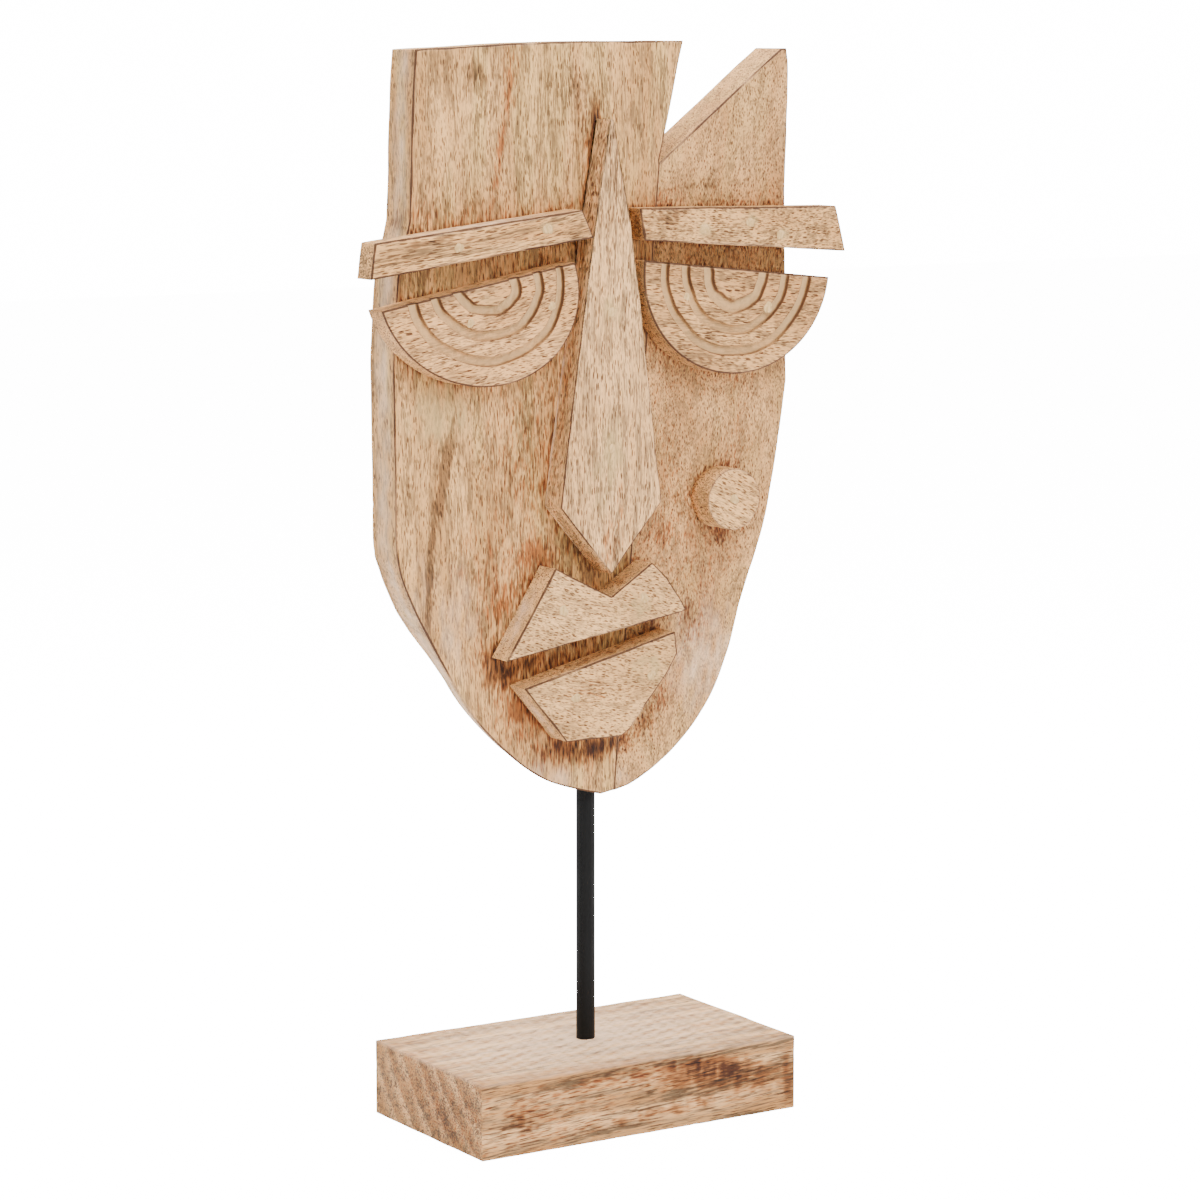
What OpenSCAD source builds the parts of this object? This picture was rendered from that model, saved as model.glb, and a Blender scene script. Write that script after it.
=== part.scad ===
// Carved mask on a stand. A flat face is sawn from two boards glued edge to edge.
// Nose, brows, eyes, lips and a cheek disc are nailed to its front, and the nail
// heads are sunk and filled. The face turns on a round rod that stands in a block.
//
// Millimetres. +Z is up, the face looks along -Y and +X is to the viewer's right.
// The origin is on the rod's axis, on the underside of the base block.

/* [Base] */
// Length of the base block, across the face
base_l = 196; // [150:1:260]
// Depth of the base block, front to back
base_d = 112; // [90:1:150]
// Height of the base block
base_h = 40; // [34:1:60]

/* [Rod] */
// Diameter of the rod
rod_d = 10; // [6:0.5:13]
// Depth of the blind hole in the base that the rod is glued into
rod_seat = 28; // [15:1:30]
// Length of rod that shows between the base and the chin
rod_show = 134.5; // [60:0.5:200]
// Depth of the socket drilled up into the chin
socket_depth = 60; // [35:1:75]
// Radial running clearance between the rod and its socket
swivel_clear = 0.05; // [0.01:0.01:0.1]
// Wood left between the socket and the seam of the two boards
socket_wall = 5; // [4:0.5:8]

/* [Face] */
// Width of the face at the cheeks
face_w = 241; // [200:1:290]
// Height of the face, chin to forehead
face_h = 395.5; // [330:0.5:475]
// Thickness of the two face boards
board_t = 25; // [20:0.5:32]
// Width of the forehead, from the left edge to the notch
forehead_w = 161; // [134:1:193]
// Width of the blunt end of the pointed tip, on the far side of the notch
tip_w = 3.5; // [2:0.5:10]
// Depth of the notch between the forehead and the pointed tip
notch_deep = 63.5; // [52:0.5:77]

/* [Nose] */
// Gap between the top of the forehead and the thin upper end of the nose
forehead_gap = 40; // [30:0.5:50]
// Height of the tip of the nose above the chin
nose_rise = 120; // [110:0.5:130]
// Width of the nose at the nostrils
nose_w = 62.5; // [50:0.5:76]
// Width of the nose at the brows
bridge_w = 24; // [18:0.5:30]
// Thickness of the nose at the nostrils
nose_t = 17; // [12:0.5:22]
// Thickness of the nose at its upper end
nose_top_t = 13.5; // [10:0.5:17]

/* [Brows] */
// Thickness of both brows
brow_t = 15; // [10:0.5:20]
// Length of the left brow, along its lower edge
left_brow_l = 132.5; // [110:0.5:160]
// Height of the left brow at the nose
left_brow_in = 15.5; // [12:0.5:20]
// Height of the left brow at its outer end
left_brow_out = 18; // [14:0.5:22]
// Length of the right brow, along its lower edge
right_brow_l = 128; // [106:0.5:155]
// Height of the right brow at the nose
right_brow_in = 17; // [14:0.5:21]
// Height of the right brow at its outer end
right_brow_out = 24; // [20:0.5:29]
// Gap between the nose and the right brow
brow_gap = 7.5; // [5:0.5:12]

/* [Eyes] */
// Thickness of both eyes
eye_t = 15; // [10:0.5:20]
// Width of the left eye along its lid
left_eye_w = 115.5; // [96:0.5:138]
// Drop of the left eye below its lid
left_eye_drop = 52.5; // [46:0.5:62]
// Least gap between the nose and the left eye
left_eye_gap = 4; // [2:0.5:15]
// Width of the right eye along its lid
right_eye_w = 118; // [98:0.5:140]
// Drop of the right eye below its lid
right_eye_drop = 55.5; // [46:0.5:66]
// Least gap between the nose and the right eye
right_eye_gap = 4.5; // [2:0.5:15]
// Width of the carved rings
groove_w = 5; // [3:0.5:6]
// Depth of the carved rings
groove_deep = 2.5; // [1:0.5:5]

/* [Cheek disc] */
// Diameter of the disc
disc_d = 33; // [26:0.5:40]
// Thickness of the disc
disc_t = 17; // [12:0.5:22]

/* [Lips] */
// Thickness of both lips
lip_t = 16.5; // [12:0.5:22]
// Width of the upper lip
upper_lip_w = 110.5; // [90:0.5:132]
// Height of the upper lip
upper_lip_h = 46.5; // [38:0.5:52]
// Width of the lower lip
lower_lip_w = 94.5; // [78:0.5:112]
// Height of the lower lip
lower_lip_h = 53; // [44:0.5:60]
// Gap between the tip of the nose and the notch of the upper lip
lip_gap = 12; // [6:0.5:16]
// Gap between the lips at their right-hand end
mouth_gap = 10; // [6:0.5:16]

/* [Nails] */
// Diameter of a nail's shank
nail_d = 1.6; // [1.2:0.1:2]
// Diameter of a nail's head
nail_head_d = 2.8; // [2.2:0.1:3.4]
// Height of a nail's head
nail_head_h = 1.2; // [0.8:0.1:1.6]
// Length of a nail
nail_l = 30; // [25:1:32]
// Diameter of the filler over a nail
filler_d = 5; // [4:0.5:8]
// Depth of the filler over a nail
filler_deep = 1.5; // [1:0.1:2.5]

/* [Hidden] */
$fn = 72;
eps = 0.5;          // how far a cut runs past the face it opens
far = 400;          // further from the rod than any edge of the face
mango = [0.83, 0.68, 0.52];
pale_mango = [0.87, 0.74, 0.60];
steel_black = [0.06, 0.06, 0.06];

// Heights and planes that the pieces share
chin_z = base_h + rod_show;
front_y = -board_t / 2;
rod_foot_z = base_h - rod_seat;
rod_top_z = chin_z + socket_depth;

// The outlines below are drawn at these sizes and stretched to the sizes set above
drawn_face = [241, 395.5];
drawn_upper_lip = [110.5, 46.5];
drawn_lower_lip = [94.5, 53];
face_k = [face_w / drawn_face[0], face_h / drawn_face[1]];

// Left and right jaw, from the cheek to the chin: [across, above the chin]
jaw_left = [[-122, 235], [-121.5, 170], [-120.5, 134.5], [-113, 111.5], [-93, 75.5],
            [-76, 48.5], [-55, 27], [-31, 10.5], [2, 0]];
jaw_right = [[2, 0], [26, 6], [53, 24.5], [71.5, 46.5], [83, 70.5], [91, 97.5],
             [106, 138.5], [114, 176.5], [120, 215]];
// Left edge above the cheek, with the shoulder at the brow
temple_left = [[-108, 391.5], [-109.5, 372], [-111, 331], [-112, 306], [-119, 278],
               [-120, 268]];
// Right edge of the face, from the cheek up to the pointed tip
temple_right = [[120, 215], [118.5, 310], [120, 368], [120, 385], [119, 391.5]];
forehead_bow = 1.5; // rise of the forehead's top edge at its middle
notch_lean = 0.236; // how far the notch's left side leans in, for each unit down
curve_steps = 4;    // straight pieces in each span of a jaw

// A point of the drawn face at its real place
function on_face(p) = [p[0] * face_k[0], chin_z + p[1] * face_k[1]];
// Smooth curve through a list of points, each span from its four nearest points
function span(a, b, c, d, t) =
    0.5 * (2 * b + (c - a) * t + (2 * a - 5 * b + 4 * c - d) * t * t
           + (3 * b - a - 3 * c + d) * t * t * t);
function smooth(p) =
    let (n = len(p) - 1)
    [for (i = [0:n - 1], s = [0:curve_steps - 1])
        span(p[max(i - 1, 0)], p[i], p[i + 1], p[min(i + 2, n)], s / curve_steps)];
function placed(points, k, at) = [for (p = points) [at[0] + p[0] * k[0], at[1] + p[1] * k[1]]];
function turned(p, a) = [p[0] * cos(a) - p[1] * sin(a), p[0] * sin(a) + p[1] * cos(a)];
function at_angle(points, a, at) = [for (p = points) at + turned(p, a)];

// The notch and the seam that runs down from its apex
forehead_left = on_face(temple_left[0]);
notch_left = [forehead_left[0] + forehead_w, chin_z + face_h];
notch_right = on_face(temple_right[4]) - [tip_w, 0];
apex = notch_left - notch_deep * [notch_lean, 1];
forehead_mid = (forehead_left + notch_left) / 2 + [0, forehead_bow];
seam_foot = [rod_d / 2 + socket_wall, chin_z];
seam_slope = (apex[0] - seam_foot[0]) / (apex[1] - seam_foot[1]);
seam = [seam_foot - 20 * [seam_slope, 1], apex, (notch_left + notch_right) / 2 + [0, 20]];

// Nose: half widths by height give its flanks, which the brows and eyes keep to
nose_point = 36.5;  // from the tip up to the nostrils
bridge_drop = 62;   // from the upper end down to the bridge
nose_end_w = 1.5;   // width of the blunt upper end
nose_lean = -2.2;   // how far the lower nose stands to the left
tip_z = chin_z + nose_rise;
nostril_z = tip_z + nose_point;
nose_top_z = chin_z + face_h - forehead_gap;
bridge_z = nose_top_z - bridge_drop;
flank_left = [[tip_z, nose_lean], [nostril_z, nose_lean - nose_w / 2], [bridge_z, -bridge_w / 2],
              [nose_top_z, -nose_end_w / 2]];
flank_right = [[tip_z, nose_lean], [nostril_z, nose_lean + nose_w / 2], [bridge_z, bridge_w / 2],
               [nose_top_z, nose_end_w / 2]];
function nose_left(z) = lookup(z, flank_left);
function nose_right(z) = lookup(z, flank_right);
function nose_t_at(z) = lookup(z, [[nostril_z, nose_t], [nose_top_z, nose_top_t]]);

// Brows: each is a bar, drawn from its inner lower corner along its lower edge
// and leaning back at its inner and outer ends by the two lengths in its ends list
left_brow_z = bridge_z + 1.5;
left_brow_tilt = 7.6;
left_brow_ends = [5, 5];
left_brow_at = [nose_left(left_brow_z), left_brow_z];
right_brow_z = bridge_z - 1;
right_brow_tilt = -4;
right_brow_ends = [-4.5, 8];
right_brow_at = [nose_right(right_brow_z) + brow_gap, right_brow_z];

// Eyes: the lid is a straight edge; below it hangs a half ellipse with its lowest
// point moved sideways by a skew, and rings that follow it at a pitch across and down.
// Each eye is moved along until its rim keeps the least gap to the nose.
rings = 3;
arc_steps = 36;     // straight pieces in the curve of an eye
function bowl(w, drop, skew) =
    [for (i = [0:arc_steps]) let (a = 180 * i / arc_steps)
        [-w * cos(a) + skew * sin(a), -drop * sin(a)]];
function rim(side, w, drop, skew, tilt, z) =
    at_angle([for (p = bowl(w / 2, drop, skew)) p + [side * w / 2, 0]], tilt, [0, z]);

left_lid_z = bridge_z - 10.7;
left_eye_tilt = 10.4;
left_eye_skew = 8;
left_ring_shift = 4;
left_ring_pitch = [13.5, 13];
left_rim = rim(-1, left_eye_w, left_eye_drop, left_eye_skew, left_eye_tilt, left_lid_z);
left_eye_at = [min([for (p = left_rim) nose_left(p[1]) - p[0]]) - left_eye_gap, left_lid_z];
right_lid_z = bridge_z - 10.9;
right_eye_tilt = -6.1;
right_eye_skew = -1;
right_ring_shift = -1;
right_ring_pitch = [13.5, 11.6];
right_rim = rim(1, right_eye_w, right_eye_drop, right_eye_skew, right_eye_tilt, right_lid_z);
right_eye_at = [max([for (p = right_rim) nose_right(p[1]) - p[0]]) + right_eye_gap, right_lid_z];

// Lips: the upper one is drawn from its notch, the lower from its upper right corner
upper_lip_k = [upper_lip_w / drawn_upper_lip[0], upper_lip_h / drawn_upper_lip[1]];
lower_lip_k = [lower_lip_w / drawn_lower_lip[0], lower_lip_h / drawn_lower_lip[1]];
upper_lip_shape = [[0, 0], [25, 16.5], [34.5, 8], [46.5, -10], [43.5, -11.5], [-64, -29],
                   [-34.5, 17.5]];
lower_lip_shape = [[0, 0], [1.5, -11.5], [-4, -20.5], [-28, -49], [-34, -53], [-67.5, -53],
                   [-93, -22.5]];
upper_lip_at = [nose_lean + 0.7, tip_z - lip_gap];
upper_lip_corner = placed([upper_lip_shape[4]], upper_lip_k, upper_lip_at)[0];
lower_lip_at = upper_lip_corner - [4, mouth_gap];

disc_at = on_face([75, 154.5]);

// Nails, each as [place on the face, thickness of the piece there]. Those in a brow
// or an eye are given as [share of the way from its inner end to the edge of the
// boards, height from its lower edge or lid], so that they always reach the boards.
board_left_x = on_face(temple_left[3])[0];
board_right_x = on_face(temple_right[1])[0];
function nails_in(points, t) = [for (p = points) [p, t]];
function along(points, reach) = [for (p = points) [p[0] * reach, p[1]]];
nose_nails = [for (f = [0.28, 0.58]) let (z = tip_z + (nose_top_z - tip_z) * f)
                 [[nose_lean * (1 - f), z], nose_t_at(z)]];
left_brow_nails = nails_in(at_angle(
    along([[0.27, 9], [0.8, 8]], board_left_x - left_brow_at[0]), left_brow_tilt,
    left_brow_at), brow_t);
right_brow_nails = nails_in(at_angle(
    along([[0.37, 8], [0.66, 12.5], [0.86, 7]], board_right_x - right_brow_at[0]),
    right_brow_tilt, right_brow_at), brow_t);
left_eye_nails = nails_in(at_angle(
    along([[0.2, -19], [0.75, -17]], board_left_x - left_eye_at[0]), left_eye_tilt,
    left_eye_at), eye_t);
right_eye_nails = nails_in(at_angle(
    along([[0.285, -17], [0.81, -19]], board_right_x - right_eye_at[0]), right_eye_tilt,
    right_eye_at), eye_t);
disc_nails = nails_in([disc_at], disc_t);
upper_lip_nails = nails_in(placed([[-30, -5], [20, -2]], upper_lip_k, upper_lip_at), lip_t);
lower_lip_nails = nails_in(placed([[-15, -22], [-62, -30]], lower_lip_k, lower_lip_at), lip_t);
all_nails = concat(nose_nails, left_brow_nails, right_brow_nails, left_eye_nails,
                   right_eye_nails, disc_nails, upper_lip_nails, lower_lip_nails);

// A flat outline, raised forwards from the front of the boards by a thickness
module raised(t) {
    translate([0, front_y, 0])
        rotate([90, 0, 0])
            linear_extrude(t) children();
}

// Nail whose head sits under the filler, with its point in the boards
module nail(n) {
    translate([n[0][0], front_y - n[1] + filler_deep, n[0][1]])
        rotate([-90, 0, 0]) {
            cylinder(d = nail_head_d, h = nail_head_h);
            cylinder(d = nail_d, h = nail_l);
        }
}

// Filler over a nail's head, flush with the piece; a cut runs on past its front
module filler(n, past = 0) {
    translate([n[0][0], front_y - n[1] - past, n[0][1]])
        rotate([-90, 0, 0])
            cylinder(d = filler_d, h = filler_deep + past);
}

// A piece with the holes of its own nails and fillers
module nailed(nails) {
    difference() {
        children();
        for (n = nails) {
            nail(n);
            filler(n, eps);
        }
    }
}

module face_outline() {
    polygon(concat([for (p = smooth(jaw_left)) on_face(p)],
                   [for (p = smooth(jaw_right)) on_face(p)],
                   [for (p = temple_right) on_face(p)],
                   [notch_right, apex, notch_left, forehead_mid],
                   [for (p = temple_left) on_face(p)]));
}

// The side of the seam that a board lies on: -1 left, 1 right
module side_of_seam(side) {
    polygon(concat(seam, [[side * far, seam[2][1]], [side * far, seam[0][1]]]));
}

module face_board(side) {
    nailed(all_nails)
        translate([0, board_t, 0])
            intersection() {
                raised(board_t) face_outline();
                translate([0, eps, 0]) raised(board_t + 2 * eps) side_of_seam(side);
            }
}

module base_block() {
    color(mango)
        difference() {
            translate([-base_l / 2, -base_d / 2, 0]) cube([base_l, base_d, base_h]);
            translate([0, 0, rod_foot_z]) cylinder(d = rod_d, h = rod_seat + eps);
        }
}

module stand_rod() {
    color(steel_black)
        translate([0, 0, rod_foot_z]) cylinder(d = rod_d, h = rod_top_z - rod_foot_z);
}

module face_board_left() {
    color(mango)
        difference() {
            face_board(-1);
            translate([0, 0, chin_z - rod_d])
                cylinder(d = rod_d + 2 * swivel_clear, h = rod_d + socket_depth);
        }
}

module face_board_right() {
    color(mango) face_board(1);
}

module nose() {
    color(pale_mango)
        nailed(nose_nails)
            intersection() {
                raised(nose_t)
                    polygon([[nose_lean, tip_z], [nose_right(nostril_z), nostril_z],
                             [bridge_w / 2, bridge_z], [nose_end_w / 2, nose_top_z],
                             [-nose_end_w / 2, nose_top_z], [-bridge_w / 2, bridge_z],
                             [nose_left(nostril_z), nostril_z]]);
                translate([-nose_w, 0, 0])
                    rotate([90, 0, 90])
                        linear_extrude(2 * nose_w)
                            polygon([[front_y, tip_z - eps], [front_y, nose_top_z],
                                     [front_y - nose_top_t, nose_top_z],
                                     [front_y - nose_t, nostril_z],
                                     [front_y - nose_t, tip_z - eps]]);
            }
}

// Bar drawn along x from its inner lower corner; side is -1 to run left, 1 right
module brow(side, length, inner_h, outer_h, ends) {
    raised(brow_t)
        polygon([for (p = [[0, 0], [ends[0], inner_h], [length - ends[1], outer_h],
                           [length, 0]]) [side * p[0], p[1]]]);
}

module left_brow() {
    color(pale_mango)
        nailed(left_brow_nails)
            translate([left_brow_at[0], 0, left_brow_at[1]])
                rotate([0, -left_brow_tilt, 0])
                    brow(-1, left_brow_l, left_brow_in, left_brow_out, left_brow_ends);
}

module right_brow() {
    color(pale_mango)
        nailed(right_brow_nails)
            translate([right_brow_at[0], 0, right_brow_at[1]])
                rotate([0, -right_brow_tilt, 0])
                    brow(1, right_brow_l, right_brow_in, right_brow_out, right_brow_ends);
}

// Flat outline of one carved ring, run out past the lid
module ring(w, drop, skew) {
    outer = bowl(w + groove_w / 2, drop + groove_w / 2, skew);
    inner = bowl(w - groove_w / 2, drop - groove_w / 2, skew);
    polygon(concat([outer[0] + [0, eps]], outer, [outer[arc_steps] + [0, eps]],
                   [inner[arc_steps] + [0, eps]], [for (i = [arc_steps:-1:0]) inner[i]],
                   [inner[0] + [0, eps]]));
}

// Eye about the middle of its lid, with carved rings moved sideways by shift
module eye(width, drop, skew, pitch, shift) {
    difference() {
        raised(eye_t) polygon(bowl(width / 2, drop, skew));
        translate([shift, groove_deep - eye_t, 0])
            for (k = [1:rings])
                raised(groove_deep + eps)
                    ring(width / 2 - k * pitch[0], drop - k * pitch[1], skew - shift);
    }
}

module left_eye() {
    color(pale_mango)
        nailed(left_eye_nails)
            translate([left_eye_at[0], 0, left_eye_at[1]])
                rotate([0, -left_eye_tilt, 0])
                    translate([-left_eye_w / 2, 0, 0])
                        eye(left_eye_w, left_eye_drop, left_eye_skew, left_ring_pitch,
                            left_ring_shift);
}

module right_eye() {
    color(pale_mango)
        nailed(right_eye_nails)
            translate([right_eye_at[0], 0, right_eye_at[1]])
                rotate([0, -right_eye_tilt, 0])
                    translate([right_eye_w / 2, 0, 0])
                        eye(right_eye_w, right_eye_drop, right_eye_skew, right_ring_pitch,
                            right_ring_shift);
}

module cheek_disc() {
    color(pale_mango)
        nailed(disc_nails)
            translate([disc_at[0], front_y, disc_at[1]])
                rotate([90, 0, 0]) cylinder(d = disc_d, h = disc_t);
}

module upper_lip() {
    color(pale_mango)
        nailed(upper_lip_nails)
            raised(lip_t) polygon(placed(upper_lip_shape, upper_lip_k, upper_lip_at));
}

module lower_lip() {
    color(pale_mango)
        nailed(lower_lip_nails)
            raised(lip_t) polygon(placed(lower_lip_shape, lower_lip_k, lower_lip_at));
}

module finish_nails() {
    color("silver") for (n = all_nails) nail(n);
}

module nail_fillers() {
    color("khaki") for (n = all_nails) filler(n);
}

base_block();
stand_rod();
face_board_left();
face_board_right();
nose();
left_brow();
right_brow();
left_eye();
right_eye();
cheek_disc();
upper_lip();
lower_lip();
finish_nails();
nail_fillers();
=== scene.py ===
"""Carved wooden mask on a stand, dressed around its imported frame.

The face is two boards glued edge to edge. Nose, brows, eyes, lips and a cheek disc
are nailed to its front, and the nail heads are sunk and filled. Every outline is read
from the frame's own nodes, so each piece has the size and place of the part it stands
for. Lengths are in metres, +Z is up and the face looks along -Y.
"""

import logging
import math
from dataclasses import dataclass, field
from enum import Enum
from typing import Any

import bmesh
import bpy
import numpy as np
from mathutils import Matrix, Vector

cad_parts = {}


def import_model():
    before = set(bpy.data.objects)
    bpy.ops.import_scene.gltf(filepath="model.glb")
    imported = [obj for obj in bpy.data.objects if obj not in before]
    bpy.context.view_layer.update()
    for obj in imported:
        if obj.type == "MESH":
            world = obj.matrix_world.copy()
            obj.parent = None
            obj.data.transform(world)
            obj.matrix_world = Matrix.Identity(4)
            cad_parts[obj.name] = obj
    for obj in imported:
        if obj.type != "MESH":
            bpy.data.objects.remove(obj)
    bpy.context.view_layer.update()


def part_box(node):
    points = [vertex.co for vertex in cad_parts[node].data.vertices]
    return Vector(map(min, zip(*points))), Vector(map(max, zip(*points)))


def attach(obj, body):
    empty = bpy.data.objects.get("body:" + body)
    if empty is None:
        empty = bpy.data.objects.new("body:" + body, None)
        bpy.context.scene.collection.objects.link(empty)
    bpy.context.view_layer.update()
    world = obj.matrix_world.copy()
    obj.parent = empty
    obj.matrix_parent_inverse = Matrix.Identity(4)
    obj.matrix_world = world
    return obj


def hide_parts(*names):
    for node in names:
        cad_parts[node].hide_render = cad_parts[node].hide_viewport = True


Array = np.ndarray
Colour = tuple[float, float, float]
Socket = bpy.types.NodeSocket

MM = 0.001
LOG = logging.getLogger("mask")

# Plane waves in a ripple, and the size of their sum that counts as 1.
WAVES, WAVE_SUM = 9, 3.2
# How near corners are one corner, how flat a face is flat, and which points merge.
SAME_PLACE, SAME_PLANE, MERGED = 0.001 * MM, 0.01 * MM, 0.002 * MM
# Share of a side that the rounding of its corner may take, and a side of no length.
CORNER_ROOM, NO_LENGTH = 0.45, 1e-9
# Colours of a rubbed arris and of the dark line of painted shadow and dirt along it.
RUBBED, SHADOW_AND_DIRT_LINE = (0.70, 0.43, 0.26), (0.055, 0.020, 0.007)
# Amount and two colours among the inputs of a Mix node, and its colour output.
MIX_SOCKETS, MIX_RESULT = (0, 6, 7), 2
# Carved rings in an eye.
RINGS = 3
# Height up the left board, and how far its back is cut in there, in millimetres.
JAW_HEIGHTS = (0, 9, 20, 39, 62, 78, 92, 103, 126, 133)
JAW_CUTS = (0, 4, 5, 6, 6.5, 4.5, 2, 1, 1, 0)
# Waves round the edge of a smear of filler, and their heights.
SMEAR_TURNS = np.array([2, 3, 5])
SMEAR_HEIGHTS = np.array([0.12, 0.08, 0.05])


# ---------------------------------------------------------------- outlines


def ripple(points: Array, length: float, seed: int) -> Array:
    """Smooth wandering value, about -1 to 1, from plane waves added together.

    Args:
        points: Places, with x, y and z on the last axis.
        length: Middling length of the waves.
        seed: Chooses the directions, lengths and phases of the waves.

    Returns:
        One value for each place.
    """
    draw = np.random.default_rng(seed)
    heading = draw.normal(size=(3, WAVES))
    heading /= np.linalg.norm(heading, axis=0)
    pace = 2 * np.pi / (length * draw.uniform(0.6, 1.6, WAVES))
    return np.cos(points @ (heading * pace) + draw.uniform(0, 2 * np.pi, WAVES)).sum(-1) / WAVE_SUM


def wander(points: Array, length: float, seed: int) -> Array:
    """Ripple brought between 0 and 1."""
    return (0.5 + 0.5 * ripple(points, length, seed)).clip(0, 1)


def fade(distance: Array, reach: float) -> Array:
    """Falls from 1 at no distance towards 0 beyond the reach, as exp(-distance / reach)."""
    return np.exp(-distance / reach)


def node_mesh(name: str) -> tuple[Array, Array]:
    """Corners and triangles of a node, with corners that coincide counted once.

    Args:
        name: Name of a node of the frame.

    Returns:
        Corner places (n, 3) and corner numbers of each triangle (m, 3).
    """
    mesh = bpy.data.objects[name].data
    mesh.calc_loop_triangles()
    places = np.empty(3 * len(mesh.vertices), np.float32)
    corners = np.empty(3 * len(mesh.loop_triangles), np.int32)
    mesh.vertices.foreach_get("co", places)
    mesh.loop_triangles.foreach_get("vertices", corners)
    keys = np.round(places.reshape(-1, 3).astype(float) / SAME_PLACE).astype(np.int64)
    kept, number = np.unique(keys, axis=0, return_inverse=True)
    return kept * SAME_PLACE, number.ravel()[corners].reshape(-1, 3)


def flat_outline(name: str, y: float) -> Array:
    """Border of a node's flat face in the plane y, anticlockwise as seen from the front.

    A border edge is one that no neighbouring triangle uses the other way round. From
    the leftmost corner the walk follows each corner's successor, and doubles in length
    at each step by walking on from all the corners that it already has.

    Args:
        name: Name of a node of the frame.
        y: Depth of the flat face.

    Returns:
        Corners as (n, 2) of x and z.
    """
    places, triangles = node_mesh(name)
    level = np.abs(places[triangles][:, :, 1] - y) < SAME_PLANE
    flat = triangles[level.all(axis=1)]
    edges = flat[:, [[0, 1], [1, 2], [2, 0]]].reshape(-1, 2)
    total = len(places)
    border = edges[~np.isin(edges @ [total, 1], edges @ [1, total])]
    after = np.arange(total)
    after[border[:, 0]] = border[:, 1]
    start = border[np.argmin(places[border[:, 0], 0]), 0]
    walk, leap = np.array([start]), after
    while len(walk) <= len(border) + 1:
        walk, leap = np.append(walk, leap[walk]), leap[leap]
    loop = places[walk[: np.flatnonzero(walk[1:] == start)[0] + 1]][:, [0, 2]]
    ahead = np.roll(loop, -1, axis=0)
    turned_left = np.sum(loop[:, 0] * ahead[:, 1] - loop[:, 1] * ahead[:, 0]) > 0
    return loop if turned_left else loop[::-1]


@dataclass
class Outline:
    """Closed outline: straight between sharp corners, smooth through the others.

    Attributes:
        corners: Corners in order, (n, 2).
        sharp_deg: A corner that turns by more than this stays a corner.
        ease: Radius that sharp corners are rounded to.
    """

    corners: Array
    sharp_deg: float = 7.0
    ease: float = 1.0 * MM

    def __post_init__(self) -> None:
        """Works out the lengths, the tangents and the sharp corners."""
        ahead = np.roll(self.corners, -1, axis=0) - self.corners
        self.spans = np.linalg.norm(ahead, axis=1)
        self.starts = np.append(0.0, np.cumsum(self.spans))
        leaving = ahead / self.spans[:, None]
        arriving = np.roll(leaving, 1, axis=0)
        bend = np.degrees(np.arccos(np.clip((leaving * arriving).sum(1), -1, 1)))
        self.sharp = bend > self.sharp_deg
        before = np.roll(self.spans, 1)[:, None]
        through = (ahead + np.roll(ahead, 1, axis=0)) / (self.spans[:, None] + before)
        self.leaving = np.where(self.sharp[:, None], leaving, through)
        self.arriving = np.where(self.sharp[:, None], arriving, through)

    def nearest(self, place: Array) -> float:
        """Distance along the outline to the corner nearest a place."""
        return float(self.starts[np.argmin(np.linalg.norm(self.corners - place, axis=1))])

    def at(self, along: Array) -> Array:
        """Points at distances along the outline, with its sharp corners rounded.

        Each span is a cubic through its two corners with their tangents. Within the
        rounding radius of a sharp corner the point moves to the curve that leaves one
        side and meets the other, with the corner as its control point.

        Args:
            along: Distances from the first corner, which wrap at the whole length.

        Returns:
            Points (n, 2).
        """
        whole = self.starts[-1]
        along = np.mod(along, whole)
        span = np.clip(np.searchsorted(self.starts, along, "right") - 1, 0, len(self.spans) - 1)
        size = self.spans[span]
        t = ((along - self.starts[span]) / size)[:, None]
        first, last = self.corners[span], np.roll(self.corners, -1, axis=0)[span]
        out_pull = self.leaving[span] * size[:, None]
        in_pull = np.roll(self.arriving, -1, axis=0)[span] * size[:, None]
        points = ((2 * t**3 - 3 * t**2 + 1) * first + (t**3 - 2 * t**2 + t) * out_pull
                  + (3 * t**2 - 2 * t**3) * last + (t**3 - t**2) * in_pull)
        if not self.sharp.any():
            return points
        which = np.flatnonzero(self.sharp)
        gap = along[:, None] - self.starts[which][None, :]
        gap = (gap + whole / 2) % whole - whole / 2
        near = np.argmin(np.abs(gap), axis=1)
        gap = gap[np.arange(len(along)), near]
        corner = which[near]
        room = CORNER_ROOM * np.minimum(self.spans[corner], self.spans[corner - 1])
        reach = np.minimum(self.ease, room)
        t = ((1 + gap / reach) / 2)[:, None]
        pivot = self.corners[corner]
        rounded = ((1 - t) ** 2 * (pivot - self.arriving[corner] * reach[:, None])
                   + 2 * t * (1 - t) * pivot
                   + t**2 * (pivot + self.leaving[corner] * reach[:, None]))
        return np.where((np.abs(gap) < reach)[:, None], rounded, points)


def crowd(count: int, pinch: float = 0.8) -> Array:
    """Shares from 0 to 1 that lie closer together towards both ends.

    Args:
        count: How many shares.
        pinch: 0 spaces them evenly; near 1 they crowd the ends.

    Returns:
        Shares in rising order.
    """
    even = np.linspace(0, 1, count)
    return even - pinch * np.sin(2 * np.pi * even) / (2 * np.pi)


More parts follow.
